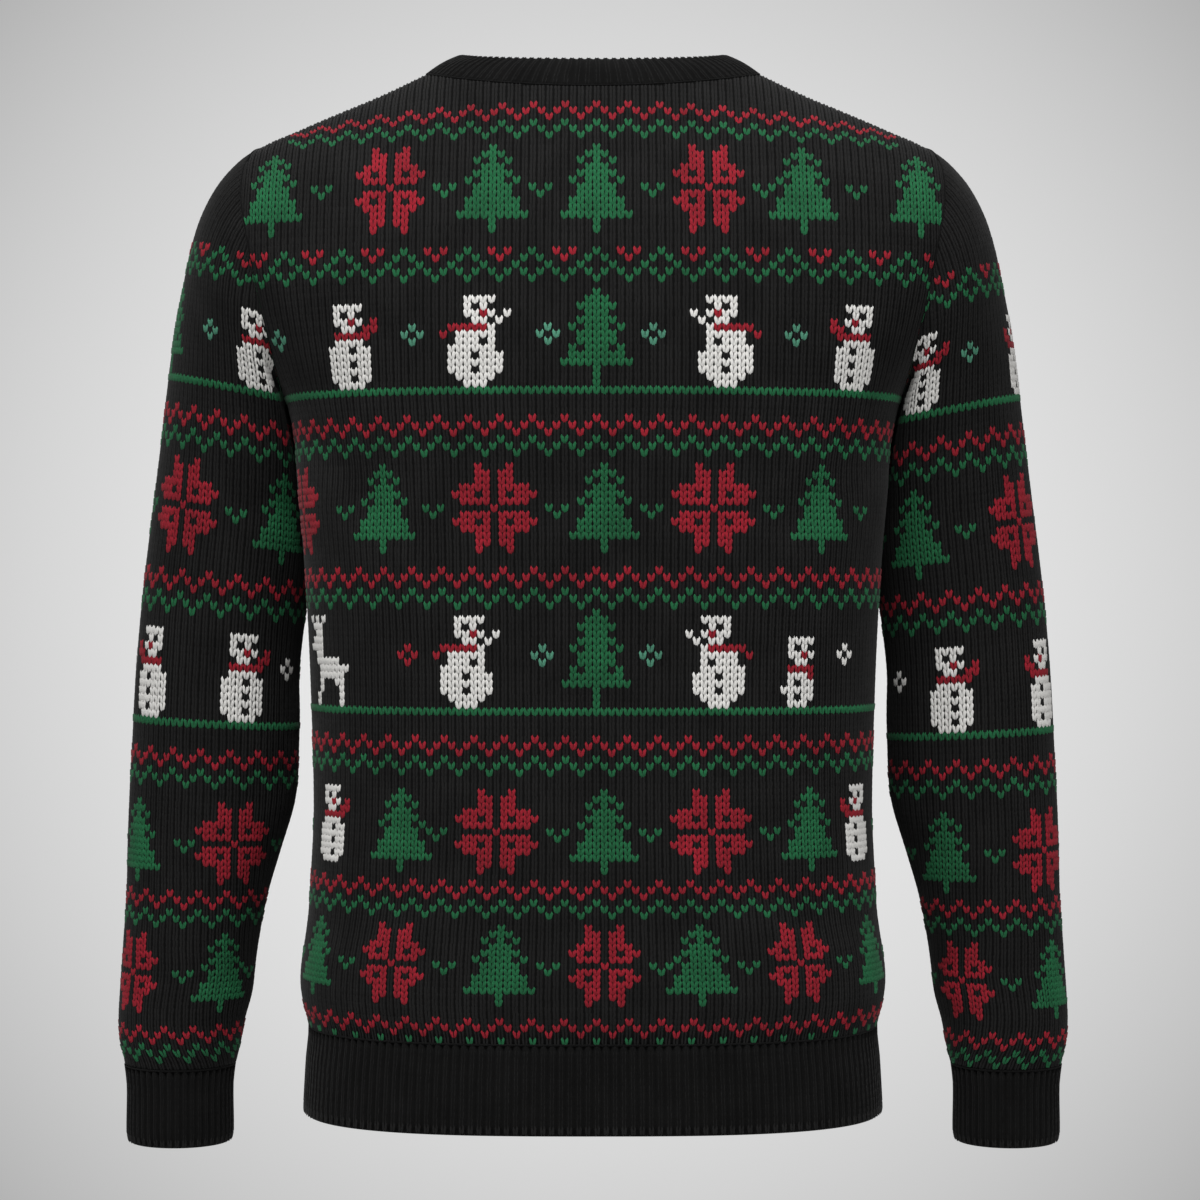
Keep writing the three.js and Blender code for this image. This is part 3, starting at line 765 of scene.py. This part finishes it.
def sleeve_level(course, side):
    """Height of a course of a sleeve where the slope leaves it as it is."""
    z = float(course_height(min(course, LAST_COURSE))) - COURSE_PITCH * max(0, course - LAST_COURSE)
    return z + np.interp(z, SLEEVE_COURSES["z"], SLEEVE_COURSES["left" if side < 0 else "right"])


def pick(grid, down, across):
    """Values of a grid at whole or part rows and columns, held at its edges."""
    down = np.clip(down, 0, grid.shape[0] - 1)
    across = np.clip(across, 0, grid.shape[1] - 1)
    return stretched(grid, down, across)


def stretched(grid, down, across):
    """Like pick, but runs on past the grid's edges."""
    i = np.clip(np.floor(down).astype(int), 0, grid.shape[0] - 2)
    j = np.clip(np.floor(across).astype(int), 0, grid.shape[1] - 2)
    s = (down - i)[..., None]
    t = (across - j)[..., None]
    low = grid[i, j] * (1 - t) + grid[i, j + 1] * t
    high = grid[i + 1, j] * (1 - t) + grid[i + 1, j + 1] * t
    return low * (1 - s) + high * s


def add_mesh(name, points, faces, materials, slots=None, uv=None, mirror=False):
    """A mesh in metres from points in millimetres."""
    points = np.asarray(points, float).reshape(-1, 3)
    faces = np.asarray(faces, int)
    if mirror:
        points = points * (-1, 1, 1)
        faces = faces[:, ::-1]
    mesh = bpy.data.meshes.new(name)
    mesh.vertices.add(len(points))
    mesh.vertices.foreach_set("co", (points * MM).ravel())
    corners = faces.shape[1]
    mesh.loops.add(faces.size)
    mesh.loops.foreach_set("vertex_index", faces.ravel())
    mesh.polygons.add(len(faces))
    mesh.polygons.foreach_set("loop_start", np.arange(0, faces.size, corners))
    for material in materials:
        mesh.materials.append(material)
    if slots is not None:
        mesh.polygons.foreach_set("material_index", np.asarray(slots, int))
    mesh.update(calc_edges=True)
    if uv is not None:
        layer = mesh.uv_layers.new(name="OFBake")
        layer.data.foreach_set("uv", uv[faces.ravel()].ravel())
    mesh.shade_smooth()
    piece = bpy.data.objects.new(name, mesh)
    bpy.context.collection.objects.link(piece)
    return piece


def shell_mesh(name, outer, inner, closed, outside, inside, mirror=False, wrong_way=False):
    """A thin closed shell between two grids of points. A tube's grids close on themselves."""
    rows, columns = outer.shape[:2]
    points = np.concatenate([outer.reshape(-1, 3), inner.reshape(-1, 3)])
    count = rows * columns
    index = np.arange(count).reshape(rows, columns)
    if closed:
        index = np.concatenate([index, index[:, :1]], axis=1)
    quads = np.stack([index[:-1, :-1], index[:-1, 1:], index[1:, 1:], index[1:, :-1]], -1).reshape(-1, 4)
    low = np.stack([index[0, :-1] + count, index[0, 1:] + count, index[0, 1:], index[0, :-1]], -1)
    high = np.stack([index[-1, :-1], index[-1, 1:], index[-1, 1:] + count, index[-1, :-1] + count], -1)
    parts = [quads, quads[:, ::-1] + count, low, high]
    if not closed:
        left = np.stack([index[:-1, 0], index[1:, 0], index[1:, 0] + count, index[:-1, 0] + count], -1)
        right = np.stack([index[:-1, -1] + count, index[1:, -1] + count, index[1:, -1], index[:-1, -1]], -1)
        parts += [left, right]
    faces = np.concatenate(parts)
    slots = np.zeros(len(faces), int)
    slots[len(quads):2 * len(quads)] = 1
    if wrong_way:
        faces = faces[:, ::-1]
    return add_mesh(name, points, faces, [outside, inside], slots, mirror=mirror)


def stitch_parts(corners, normals, cells, leg, height=1.0, narrow=1.0):
    """Points, faces and flat places of the stitches in the given cells (rows and columns of a grid)."""
    row, column = cells
    count = len(row)
    lift = height * RNG.uniform(*STITCH_LIFT, count)
    slide = RNG.uniform(-STITCH_JITTER, STITCH_JITTER, (count, 2))
    points, flats = [], []
    for way in (-1, 1):
        for across, up, half, crest, edge in zip(*leg.values()):
            spots = [(0, crest)] if half == 0 else [(-half, edge), (0, crest), (half, edge)]
            for offset, rise in spots:
                u = column + 0.5 + narrow * way * (across + offset) + slide[:, 0]
                v = row + up + slide[:, 1]
                base = stretched(corners, v, u)
                out = stretched(normals, v, u)
                height_here = rise * (lift if rise > 0 else np.ones(count))
                points.append(base + out * height_here[:, None])
                flats.append(np.stack([u, v], -1))
    points = np.stack(points, 1)
    flats = np.stack(flats, 1)
    one_leg = np.array([
        (0, 1, 2), (0, 2, 3),
        (1, 4, 2), (2, 4, 5), (2, 5, 3), (3, 5, 6),
        (4, 7, 5), (5, 7, 6),
    ])
    stitch = np.concatenate([one_leg, one_leg[:, ::-1] + 8])
    faces = stitch[None] + 16 * np.arange(count)[:, None, None]
    return points.reshape(-1, 3), faces.reshape(-1, 3), flats.reshape(-1, 2)


def flat_uv(flats, columns, rows):
    """Places of stitches as shares of the flat cloth, with a margin round it."""
    return (flats + UV_MARGIN) / np.array([columns + 2 * UV_MARGIN, rows + 2 * UV_MARGIN])


def whole_cells(corners):
    """Which cells of a grid have enough room for a stitch, by their size across and up."""
    across = np.linalg.norm(corners[:-1, 1:] - corners[:-1, :-1], axis=-1)
    across += np.linalg.norm(corners[1:, 1:] - corners[1:, :-1], axis=-1)
    up = np.linalg.norm(corners[1:, :-1] - corners[:-1, :-1], axis=-1)
    up += np.linalg.norm(corners[1:, 1:] - corners[:-1, 1:], axis=-1)
    return (across > 2 * LEAST_ROOM * WALE_PITCH) & (up > 2 * LEAST_ROOM * COURSE_PITCH)


def knit_pieces(name, corners, normals, chart, mirror=False, facing=1):
    """The stitches of a piece: one mesh of ground yarn and one of the coloured yarns."""
    chart = chart[::-1]
    room = whole_cells(corners)
    pieces = []
    kinds = (("ground", chart == 0, GROUND_LEG), ("motifs", chart > 0, MOTIF_LEG))
    for kind, wanted, leg in kinds:
        cells = np.nonzero(room & wanted)
        points, faces, flats = stitch_parts(corners, normals, cells, leg)
        if facing < 0:
            faces = faces[:, ::-1]
        uv = flat_uv(flats, chart.shape[1], chart.shape[0])
        yarn = np.repeat(chart[cells], len(faces) // len(cells[0]))
        materials = [YARN["k"]] if kind == "ground" else [YARN[letter] for letter in YARNS[1:]]
        slots = None if kind == "ground" else yarn - 1
        piece = add_mesh(f"{name}_{kind}", points, faces, materials, slots, uv, mirror)
        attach(piece, "root")
        pieces.append(piece)
    return pieces


def panel_shell(side):
    """Outer and inner points of a panel's shell, with the seams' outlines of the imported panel."""
    lengths, x = quarter_section(UNDERARM, -1)
    shares = np.interp(np.linspace(0, lengths[-1], PANEL_COLUMNS // 2 + 1), lengths, x) / x[-1]
    f = np.linspace(-1, 1, PANEL_COLUMNS + 1)
    share = np.sign(f) * shares[np.abs(np.arange(PANEL_COLUMNS + 1) - PANEL_COLUMNS // 2)]
    z_low = np.linspace(HEM_SEAM, UNDERARM, PANEL_ROWS_BELOW, endpoint=False)[:, None]
    x_low = body_half_width(z_low, side) * share
    low = np.stack(np.broadcast_arrays(x_low, z_low), -1)
    top_x, top_z = top_edge(f, side)
    t = np.linspace(0, 1, PANEL_ROWS_ABOVE + 1)[:, None]
    rise = (1 - np.cos(math.pi * t)) / 2
    z = UNDERARM + (top_z - UNDERARM) * rise
    armhole_z = UNDERARM + (SHOULDER_POINT - UNDERARM) * rise
    edge_low, edge_high = float(side_edge(UNDERARM)), float(side_edge(SHOULDER_POINT))
    bow = side_edge(armhole_z) - (edge_low + (edge_high - edge_low) * rise)
    x = edge_low * share * (1 - rise) + top_x * rise + bow * f * np.abs(f)
    high = np.stack([x, z], -1)
    flat = np.concatenate([low, high])
    place, normal = body_folded(flat[..., 0], flat[..., 1], side)
    return place - SHELL_SINK * normal, place - WALL * normal


def top_edge(f, side):
    """The panel's top edge at shares from -1 to 1: neckline in the middle, shoulder seams beside it."""
    a = np.abs(f)
    angle = np.minimum(math.pi * a, math.pi / 2)
    dip = np.cos(angle).clip(0, 1) ** NECK_DIP_POWER
    shoulder_z = SHOULDER_POINT * np.clip((a - 0.5) * 2, 0, 1)
    in_neck = a <= 0.5
    x = np.where(in_neck, NECK_HALF_WIDTH * np.sin(angle), side_edge(shoulder_z))
    z = np.where(in_neck, -NECK_DROP[side] * dip, shoulder_z)
    return np.sign(f) * x, z


def link(tree, source, target):
    """Joins two sockets of a material."""
    tree.links.new(source, target)


def yarn_material(name, color, shade=0.5, sheen=0.08, fuzz=0.25, gloss=0.14):
    """Matte wool: uneven colour along the yarn, fine fibres and a soft sheen."""
    material = bpy.data.materials.new(name)
    material.use_nodes = True
    tree = material.node_tree
    shader = tree.nodes["Principled BSDF"]
    shader.inputs["Roughness"].default_value = 0.92
    shader.inputs["Specular IOR Level"].default_value = gloss
    shader.inputs["Sheen Weight"].default_value = sheen
    shader.inputs["Sheen Roughness"].default_value = 0.55
    place = tree.nodes.new("ShaderNodeTexCoord")
    broad = tree.nodes.new("ShaderNodeTexNoise")
    broad.inputs["Scale"].default_value = 45
    broad.inputs["Detail"].default_value = 3
    fine = tree.nodes.new("ShaderNodeTexNoise")
    fine.inputs["Scale"].default_value = 900
    fine.inputs["Detail"].default_value = 2
    for noise in (broad, fine):
        link(tree, place.outputs["Object"], noise.inputs["Vector"])
    both = tree.nodes.new("ShaderNodeMath")
    both.operation = "ADD"
    link(tree, broad.outputs["Fac"], both.inputs[0])
    link(tree, fine.outputs["Fac"], both.inputs[1])
    ramp = tree.nodes.new("ShaderNodeMapRange")
    ramp.inputs["From Min"].default_value = 0.7
    ramp.inputs["From Max"].default_value = 1.3
    ramp.inputs["To Min"].default_value = 0
    ramp.inputs["To Max"].default_value = 1
    link(tree, both.outputs[0], ramp.inputs["Value"])
    mix = tree.nodes.new("ShaderNodeMix")
    mix.data_type = "RGBA"
    mix.inputs["A"].default_value = (*[c * (1 - shade * 0.6) for c in color], 1)
    mix.inputs["B"].default_value = (*[min(1, c * (1 + shade * 0.6)) for c in color], 1)
    link(tree, ramp.outputs["Result"], mix.inputs["Factor"])
    link(tree, mix.outputs["Result"], shader.inputs["Base Color"])
    bump = tree.nodes.new("ShaderNodeBump")
    bump.inputs["Strength"].default_value = fuzz
    bump.inputs["Distance"].default_value = 0.0006
    link(tree, fine.outputs["Fac"], bump.inputs["Height"])
    link(tree, bump.outputs["Normal"], shader.inputs["Normal"])
    return material


YARN = {
    "k": yarn_material("black_yarn", BLACK, shade=0.6, sheen=0.06, gloss=0.09),
    "r": yarn_material("red_yarn", RED),
    "g": yarn_material("green_yarn", GREEN),
    "w": yarn_material("white_yarn", WHITE, shade=0.15),
    "s": yarn_material("sage_yarn", SAGE),
}
# Painted shade: black yarn darkened to 0.4 for the shell's outside, which shows in the gaps between the
# stitches
PAINTED_SHADE_BACKING = yarn_material("knit_backing_painted_shade", tuple(c * 0.4 for c in BLACK), sheen=0.02, gloss=0.05)
INSIDE = yarn_material("knit_inside", tuple(c * 1.6 for c in BLACK), shade=0.7, fuzz=0.6, gloss=0.1)
RIB = yarn_material("rib_yarn", BLACK, shade=0.6, sheen=0.06, gloss=0.09)
# Painted shade: black yarn darkened to half, for the rib grooves and the seam cords
PAINTED_SHADE_YARN = yarn_material("painted_shade_yarn", tuple(c * 0.5 for c in BLACK), sheen=0.03, gloss=0.05)


def dressed(shell, node):
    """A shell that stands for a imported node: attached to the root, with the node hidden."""
    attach(shell, "root")
    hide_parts(node)


def make_panel(name, side):
    """The back or the front panel: its shell and its stitches."""
    outer, inner = panel_shell(side)
    # The shell's outside, seen between the stitches, is the darkened backing: painted shade in the gaps
    shell = shell_mesh(name + "_cloth", outer, inner, False, PAINTED_SHADE_BACKING, INSIDE, wrong_way=side > 0)
    corners, normals = knit_panel(side)
    chart = band_chart(BANDS, FIRST_COURSE, LAST_COURSE, WALES, FIRST_BORDER_REACH)
    pieces = knit_pieces(name, corners, normals, chart, facing=-side)
    dressed(shell, name)


def make_sleeve(name, side, surface):
    """A sleeve: its shell and its stitches, mirrored for the left one."""
    place, normal = surface
    outer = (place - SHELL_SINK * normal)[::2, :-1:2]
    inner = (place - WALL * normal)[::2, :-1:2]
    # The shell's outside, seen between the stitches, is the darkened backing: painted shade in the gaps
    shell = shell_mesh(name + "_cloth", outer, inner, True, PAINTED_SHADE_BACKING, INSIDE, mirror=side < 0)
    corners, normals = knit_sleeve(surface, side)
    chart = band_chart(SLEEVE_BANDS[side], SLEEVE_FIRST_COURSE, SLEEVE_LAST_COURSE, SLEEVE_WALES)
    pieces = knit_pieces(name, corners, normals, chart, mirror=side < 0)
    dressed(shell, name)


def rib_tube(name, node, place, ribs, rows, courses, free=0, mirror=False):
    """A ribbed band: ridges with grooves between them over a plain inside, rolled in at its free edge.
    place(turn, up) gives points and normals at shares round and up the band."""
    turn = np.arange(ribs * RIB_POINTS) / (ribs * RIB_POINTS)
    up = np.linspace(0, 1, rows)
    turns, ups = np.meshgrid(turn, up)
    base, normal = place(turns, ups)
    ridge = np.abs(np.sin(math.pi * ribs * turns)) ** RIB_ROUNDNESS
    rolled = np.sin(math.pi / 2 * np.clip(np.abs(ups - free) / RIB_ROLL, 0, 1))
    outer = base + normal * (RIB_RISE * ridge * rolled - RIB_SINK)[..., None]
    inner = base - WALL * normal
    # The ribbed outside takes the half-dark yarn, painted shade that shows in the grooves between the ribs
    shell = shell_mesh(name + "_cloth", outer, inner, True, PAINTED_SHADE_YARN, INSIDE, mirror=mirror)
    turns, ups = np.meshgrid(np.arange(ribs + 1) / ribs, np.linspace(*RIB_STITCHES, courses + 1))
    corners, normals = place(turns, ups)
    cells = np.nonzero(np.ones((courses, ribs), bool))
    points, faces, flats = stitch_parts(corners, normals, cells, GROUND_LEG, RIB_STITCH_RISE, RIB_NARROW)
    uv = flat_uv(flats, ribs, courses)
    stitches = add_mesh(name + "_stitches", points, faces, [RIB], None, uv, mirror)
    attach(stitches, "root")
    dressed(shell, node)


def hem_place(turn, up):
    """Points and normals of the hem band at shares round and up it."""
    z = HEM_BOTTOM + (HEM_SEAM - HEM_BOTTOM) * up
    lengths, x = quarter_section(HEM_SEAM, -1)
    share = x / x[-1]
    quarter = (turn * 4) % 4
    around = quarter % 2 - 1
    side = np.where(quarter < 2, -1, 1)
    across = np.sign(around) * np.interp(np.abs(around) * lengths[-1], lengths, share) * -side
    place, normal = body_place(across * body_half_width(z, side), z, side)
    normal[..., 2] = 0
    return place, unit(normal)


def cuff_place(turn, up):
    """Points and normals of the right cuff at shares round and up it."""
    z = CUFF_BOTTOM + (CUFF_TOP - SEAM_GAP - CUFF_BOTTOM) * up
    half = through(CUFF["z"], CUFF["half"])(z)
    depth = through(CUFF["z"], CUFF["depth"])(z)
    angle = -2 * math.pi * turn
    x = CUFF_MIDDLE[0] + half * np.cos(angle)
    y = CUFF_MIDDLE[1] - depth * np.sin(angle)
    normal = np.stack([np.cos(angle) / half, -np.sin(angle) / depth, np.zeros_like(x)], -1)
    return np.stack([x, y, z], -1), unit(normal)


def neck_place(turn, up):
    """Points and normals of the neck band at shares round and up it."""
    turn = turn % 1
    back = turn < 0.5
    f = np.where(back, 2 * turn - 0.5, 1.5 - 2 * turn)
    pairs = zip(neck_seam(f, -1), neck_seam(f, 1))
    place, edge, bulge = [np.where(back[..., None], *pair) for pair in pairs]
    near = [
        np.where(back[..., None], neck_seam(f + step, -1)[0], neck_seam(f - step, 1)[0])
        for step in (-NECK_STEP, NECK_STEP)
    ]
    rise = unit(edge - place)
    out = unit(np.cross(near[1] - near[0], rise))
    start = place + rise * NECK_SEAM_GAP
    share = up[..., None]
    return start + (edge - start) * share + out * bulge * np.sin(math.pi * share), out


def neck_seam(f, side):
    """The neckline's seam, the band's free edge above it, and how far the band bulges between them."""
    x, z = top_edge(f, side)
    place = body_place(x, z, side)[0]
    middle = np.cos(math.pi * f)[..., None] ** 2
    lean = NECK_SIDE_EDGE[0] * (1 - middle) + NECK_EDGE[side][0] * middle
    rise = NECK_SIDE_EDGE[1] * (1 - middle) + NECK_EDGE[side][1] * middle
    edge = place * np.concatenate([lean, lean, np.ones_like(lean)], -1)
    edge[..., 2] += rise[..., 0]
    bulge = NECK_BULGE[0] * (1 - middle) + NECK_BULGE[1] * middle
    return place, edge, bulge


def cord(name, line, closed, sides=6):
    """A thin cord of yarn laid along a seam."""
    line = np.asarray(line)
    if closed:
        way = np.roll(line, -1, 0) - np.roll(line, 1, 0)
    else:
        way = np.gradient(line, axis=0)
    way = unit(way)
    middle = line.mean(0)
    side = unit(np.cross(way, line - middle + (0, 0, 1e-3)))
    other = np.cross(way, side)
    angle = (2 * math.pi * np.arange(sides) / sides)[None, :, None]
    ring = line[:, None] + CORD * (np.cos(angle) * side[:, None] + np.sin(angle) * other[:, None])
    count = len(line)
    index = np.arange(count * sides).reshape(count, sides)
    index = np.concatenate([index, index[:, :1]], 1)
    if closed:
        index = np.concatenate([index, index[:1]], 0)
    faces = np.stack([index[:-1, :-1], index[:-1, 1:], index[1:, 1:], index[1:, :-1]], -1).reshape(-1, 4)
    # The cord is a real seam cord, drawn in the half-dark yarn as painted shade along the seam
    piece = add_mesh(name, ring, faces, [PAINTED_SHADE_YARN])
    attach(piece, "root")


def make_seams():
    """Cords along the seams of the bands, the armholes, the shoulders and the sides."""
    turn = np.arange(480) / 480
    level = np.zeros_like(turn)
    cord("neck_seam", neck_place(turn[::2], level[::2])[0], True)
    cord("hem_seam", hem_place(turn, level + 1)[0], True)
    wrist = cuff_place(turn[::5], level[::5] + 1)[0]
    z = UNDERARM + (SHOULDER_POINT - UNDERARM) * (1 + np.cos(2 * math.pi * turn[::4])) / 2
    half = np.where(turn[::4] < 0.5, -1, 1) * armhole_depth(z)
    armhole = np.stack([side_edge(z), half, z], -1)
    shoulder_z = np.linspace(0, SHOULDER_POINT, 40)
    shoulder = np.stack([side_edge(shoulder_z), 0 * shoulder_z, shoulder_z], -1)
    side_z = np.linspace(UNDERARM, HEM_SEAM, 120)
    side = np.stack([side_edge(side_z), 0 * side_z, side_z], -1)
    for name, way in (("right", 1), ("left", -1)):
        flip = np.array([way, 1, 1])
        cord(f"cuff_{name}_seam", wrist * flip, True)
        cord(f"armhole_{name}_seam", armhole * flip, True)
        cord(f"shoulder_{name}_seam", shoulder * flip, False)
        cord(f"side_{name}_seam", side * flip, False)


def floor_material():
    """Plain pale grey."""
    material = bpy.data.materials.new("floor_grey")
    material.use_nodes = True
    shader = material.node_tree.nodes["Principled BSDF"]
    shader.inputs["Base Color"].default_value = (FLOOR_GREY, FLOOR_GREY, FLOOR_GREY, 1)
    shader.inputs["Roughness"].default_value = 0.9
    return material


def make_stage():
    """A pale floor well below, and a backdrop with a painted pool of light, lighter in the middle."""
    bpy.ops.mesh.primitive_plane_add(size=FLOOR_SIZE, location=(0, 0, FLOOR_HEIGHT))
    floor = bpy.context.object
    floor.name = "floor"
    floor.data.materials.append(floor_material())
    upright = (math.pi / 2, 0, 0)
    bpy.ops.mesh.primitive_plane_add(size=BACKDROP_SIZE, location=BACKDROP_PLACE, rotation=upright)
    wall = bpy.context.object
    wall.name = "backdrop"
    wall.data.materials.append(backdrop_material())


def backdrop_material():
    """Grey that glows by itself as a painted pool of light, less with the square of the distance from its
    middle.
    """
    material = bpy.data.materials.new("backdrop_painted_light")
    material.use_nodes = True
    tree = material.node_tree
    tree.nodes.clear()
    place = tree.nodes.new("ShaderNodeTexCoord")
    square = tree.nodes.new("ShaderNodeVectorMath")
    square.operation = "DOT_PRODUCT"
    link(tree, place.outputs["Object"], square.inputs[0])
    link(tree, place.outputs["Object"], square.inputs[1])
    ramp = tree.nodes.new("ShaderNodeMapRange")
    ramp.inputs["From Min"].default_value = 0
    ramp.inputs["From Max"].default_value = BACKDROP_REACH
    ramp.inputs["To Min"].default_value = BACKDROP_GLOW[0]
    ramp.inputs["To Max"].default_value = BACKDROP_GLOW[1]
    link(tree, square.outputs["Value"], ramp.inputs["Value"])
    glow = tree.nodes.new("ShaderNodeEmission")
    link(tree, ramp.outputs["Result"], glow.inputs["Color"])
    out = tree.nodes.new("ShaderNodeOutputMaterial")
    link(tree, glow.outputs["Emission"], out.inputs["Surface"])
    return material


def add_light(name, place, aim, size, power):
    """An area light that faces a point."""
    light = bpy.data.lights.new(name, "AREA")
    light.shape = "RECTANGLE"
    light.size, light.size_y = size
    light.energy = power
    lamp = bpy.data.objects.new(name, light)
    lamp.location = place
    way = np.array(aim, float) - np.array(place, float)
    lamp.rotation_euler = look_angles(way)
    bpy.context.collection.objects.link(lamp)


def look_angles(way):
    """Angles that turn a light or a camera to face along a direction."""
    x, y, z = way
    return (math.atan2(math.hypot(x, y), -z), 0, math.atan2(-x, y))


def make_lights():
    """The lights, and an even grey world."""
    for light in LIGHTS:
        add_light(*light)
    world = bpy.context.scene.world or bpy.data.worlds.new("studio")
    bpy.context.scene.world = world
    world.use_nodes = True
    background = world.node_tree.nodes["Background"]
    background.inputs["Color"].default_value = (WORLD_GREY, WORLD_GREY, WORLD_GREY, 1)
    background.inputs["Strength"].default_value = WORLD_STRENGTH


def make_camera():
    """A level camera behind the back, which faces it squarely."""
    data = bpy.data.cameras.new("camera")
    data.lens = CAMERA_LENS
    data.sensor_width = CAMERA_SENSOR
    camera = bpy.data.objects.new("camera", data)
    camera.location = CAMERA_PLACE
    camera.rotation_euler = (math.pi / 2, 0, 0)
    bpy.context.collection.objects.link(camera)
    bpy.context.scene.camera = camera


make_panel("back_panel", -1)
make_panel("front_panel", 1)
SURFACE = sleeve_surface()
make_sleeve("sleeve_right", 1, SURFACE)
make_sleeve("sleeve_left", -1, SURFACE)
rib_tube("hem_band", "hem_rib", hem_place, HEM_RIBS, 9, 12)
rib_tube("cuff_right_band", "cuff_right", cuff_place, CUFF_RIBS, 9, 12)
rib_tube("cuff_left_band", "cuff_left", cuff_place, CUFF_RIBS, 9, 12, mirror=True)
rib_tube("neck_band", "neck_rib", neck_place, NECK_RIBS, 13, 7, free=1)
make_seams()
make_stage()
make_lights()
make_camera()
bpy.context.scene.view_settings.view_transform = "Standard"
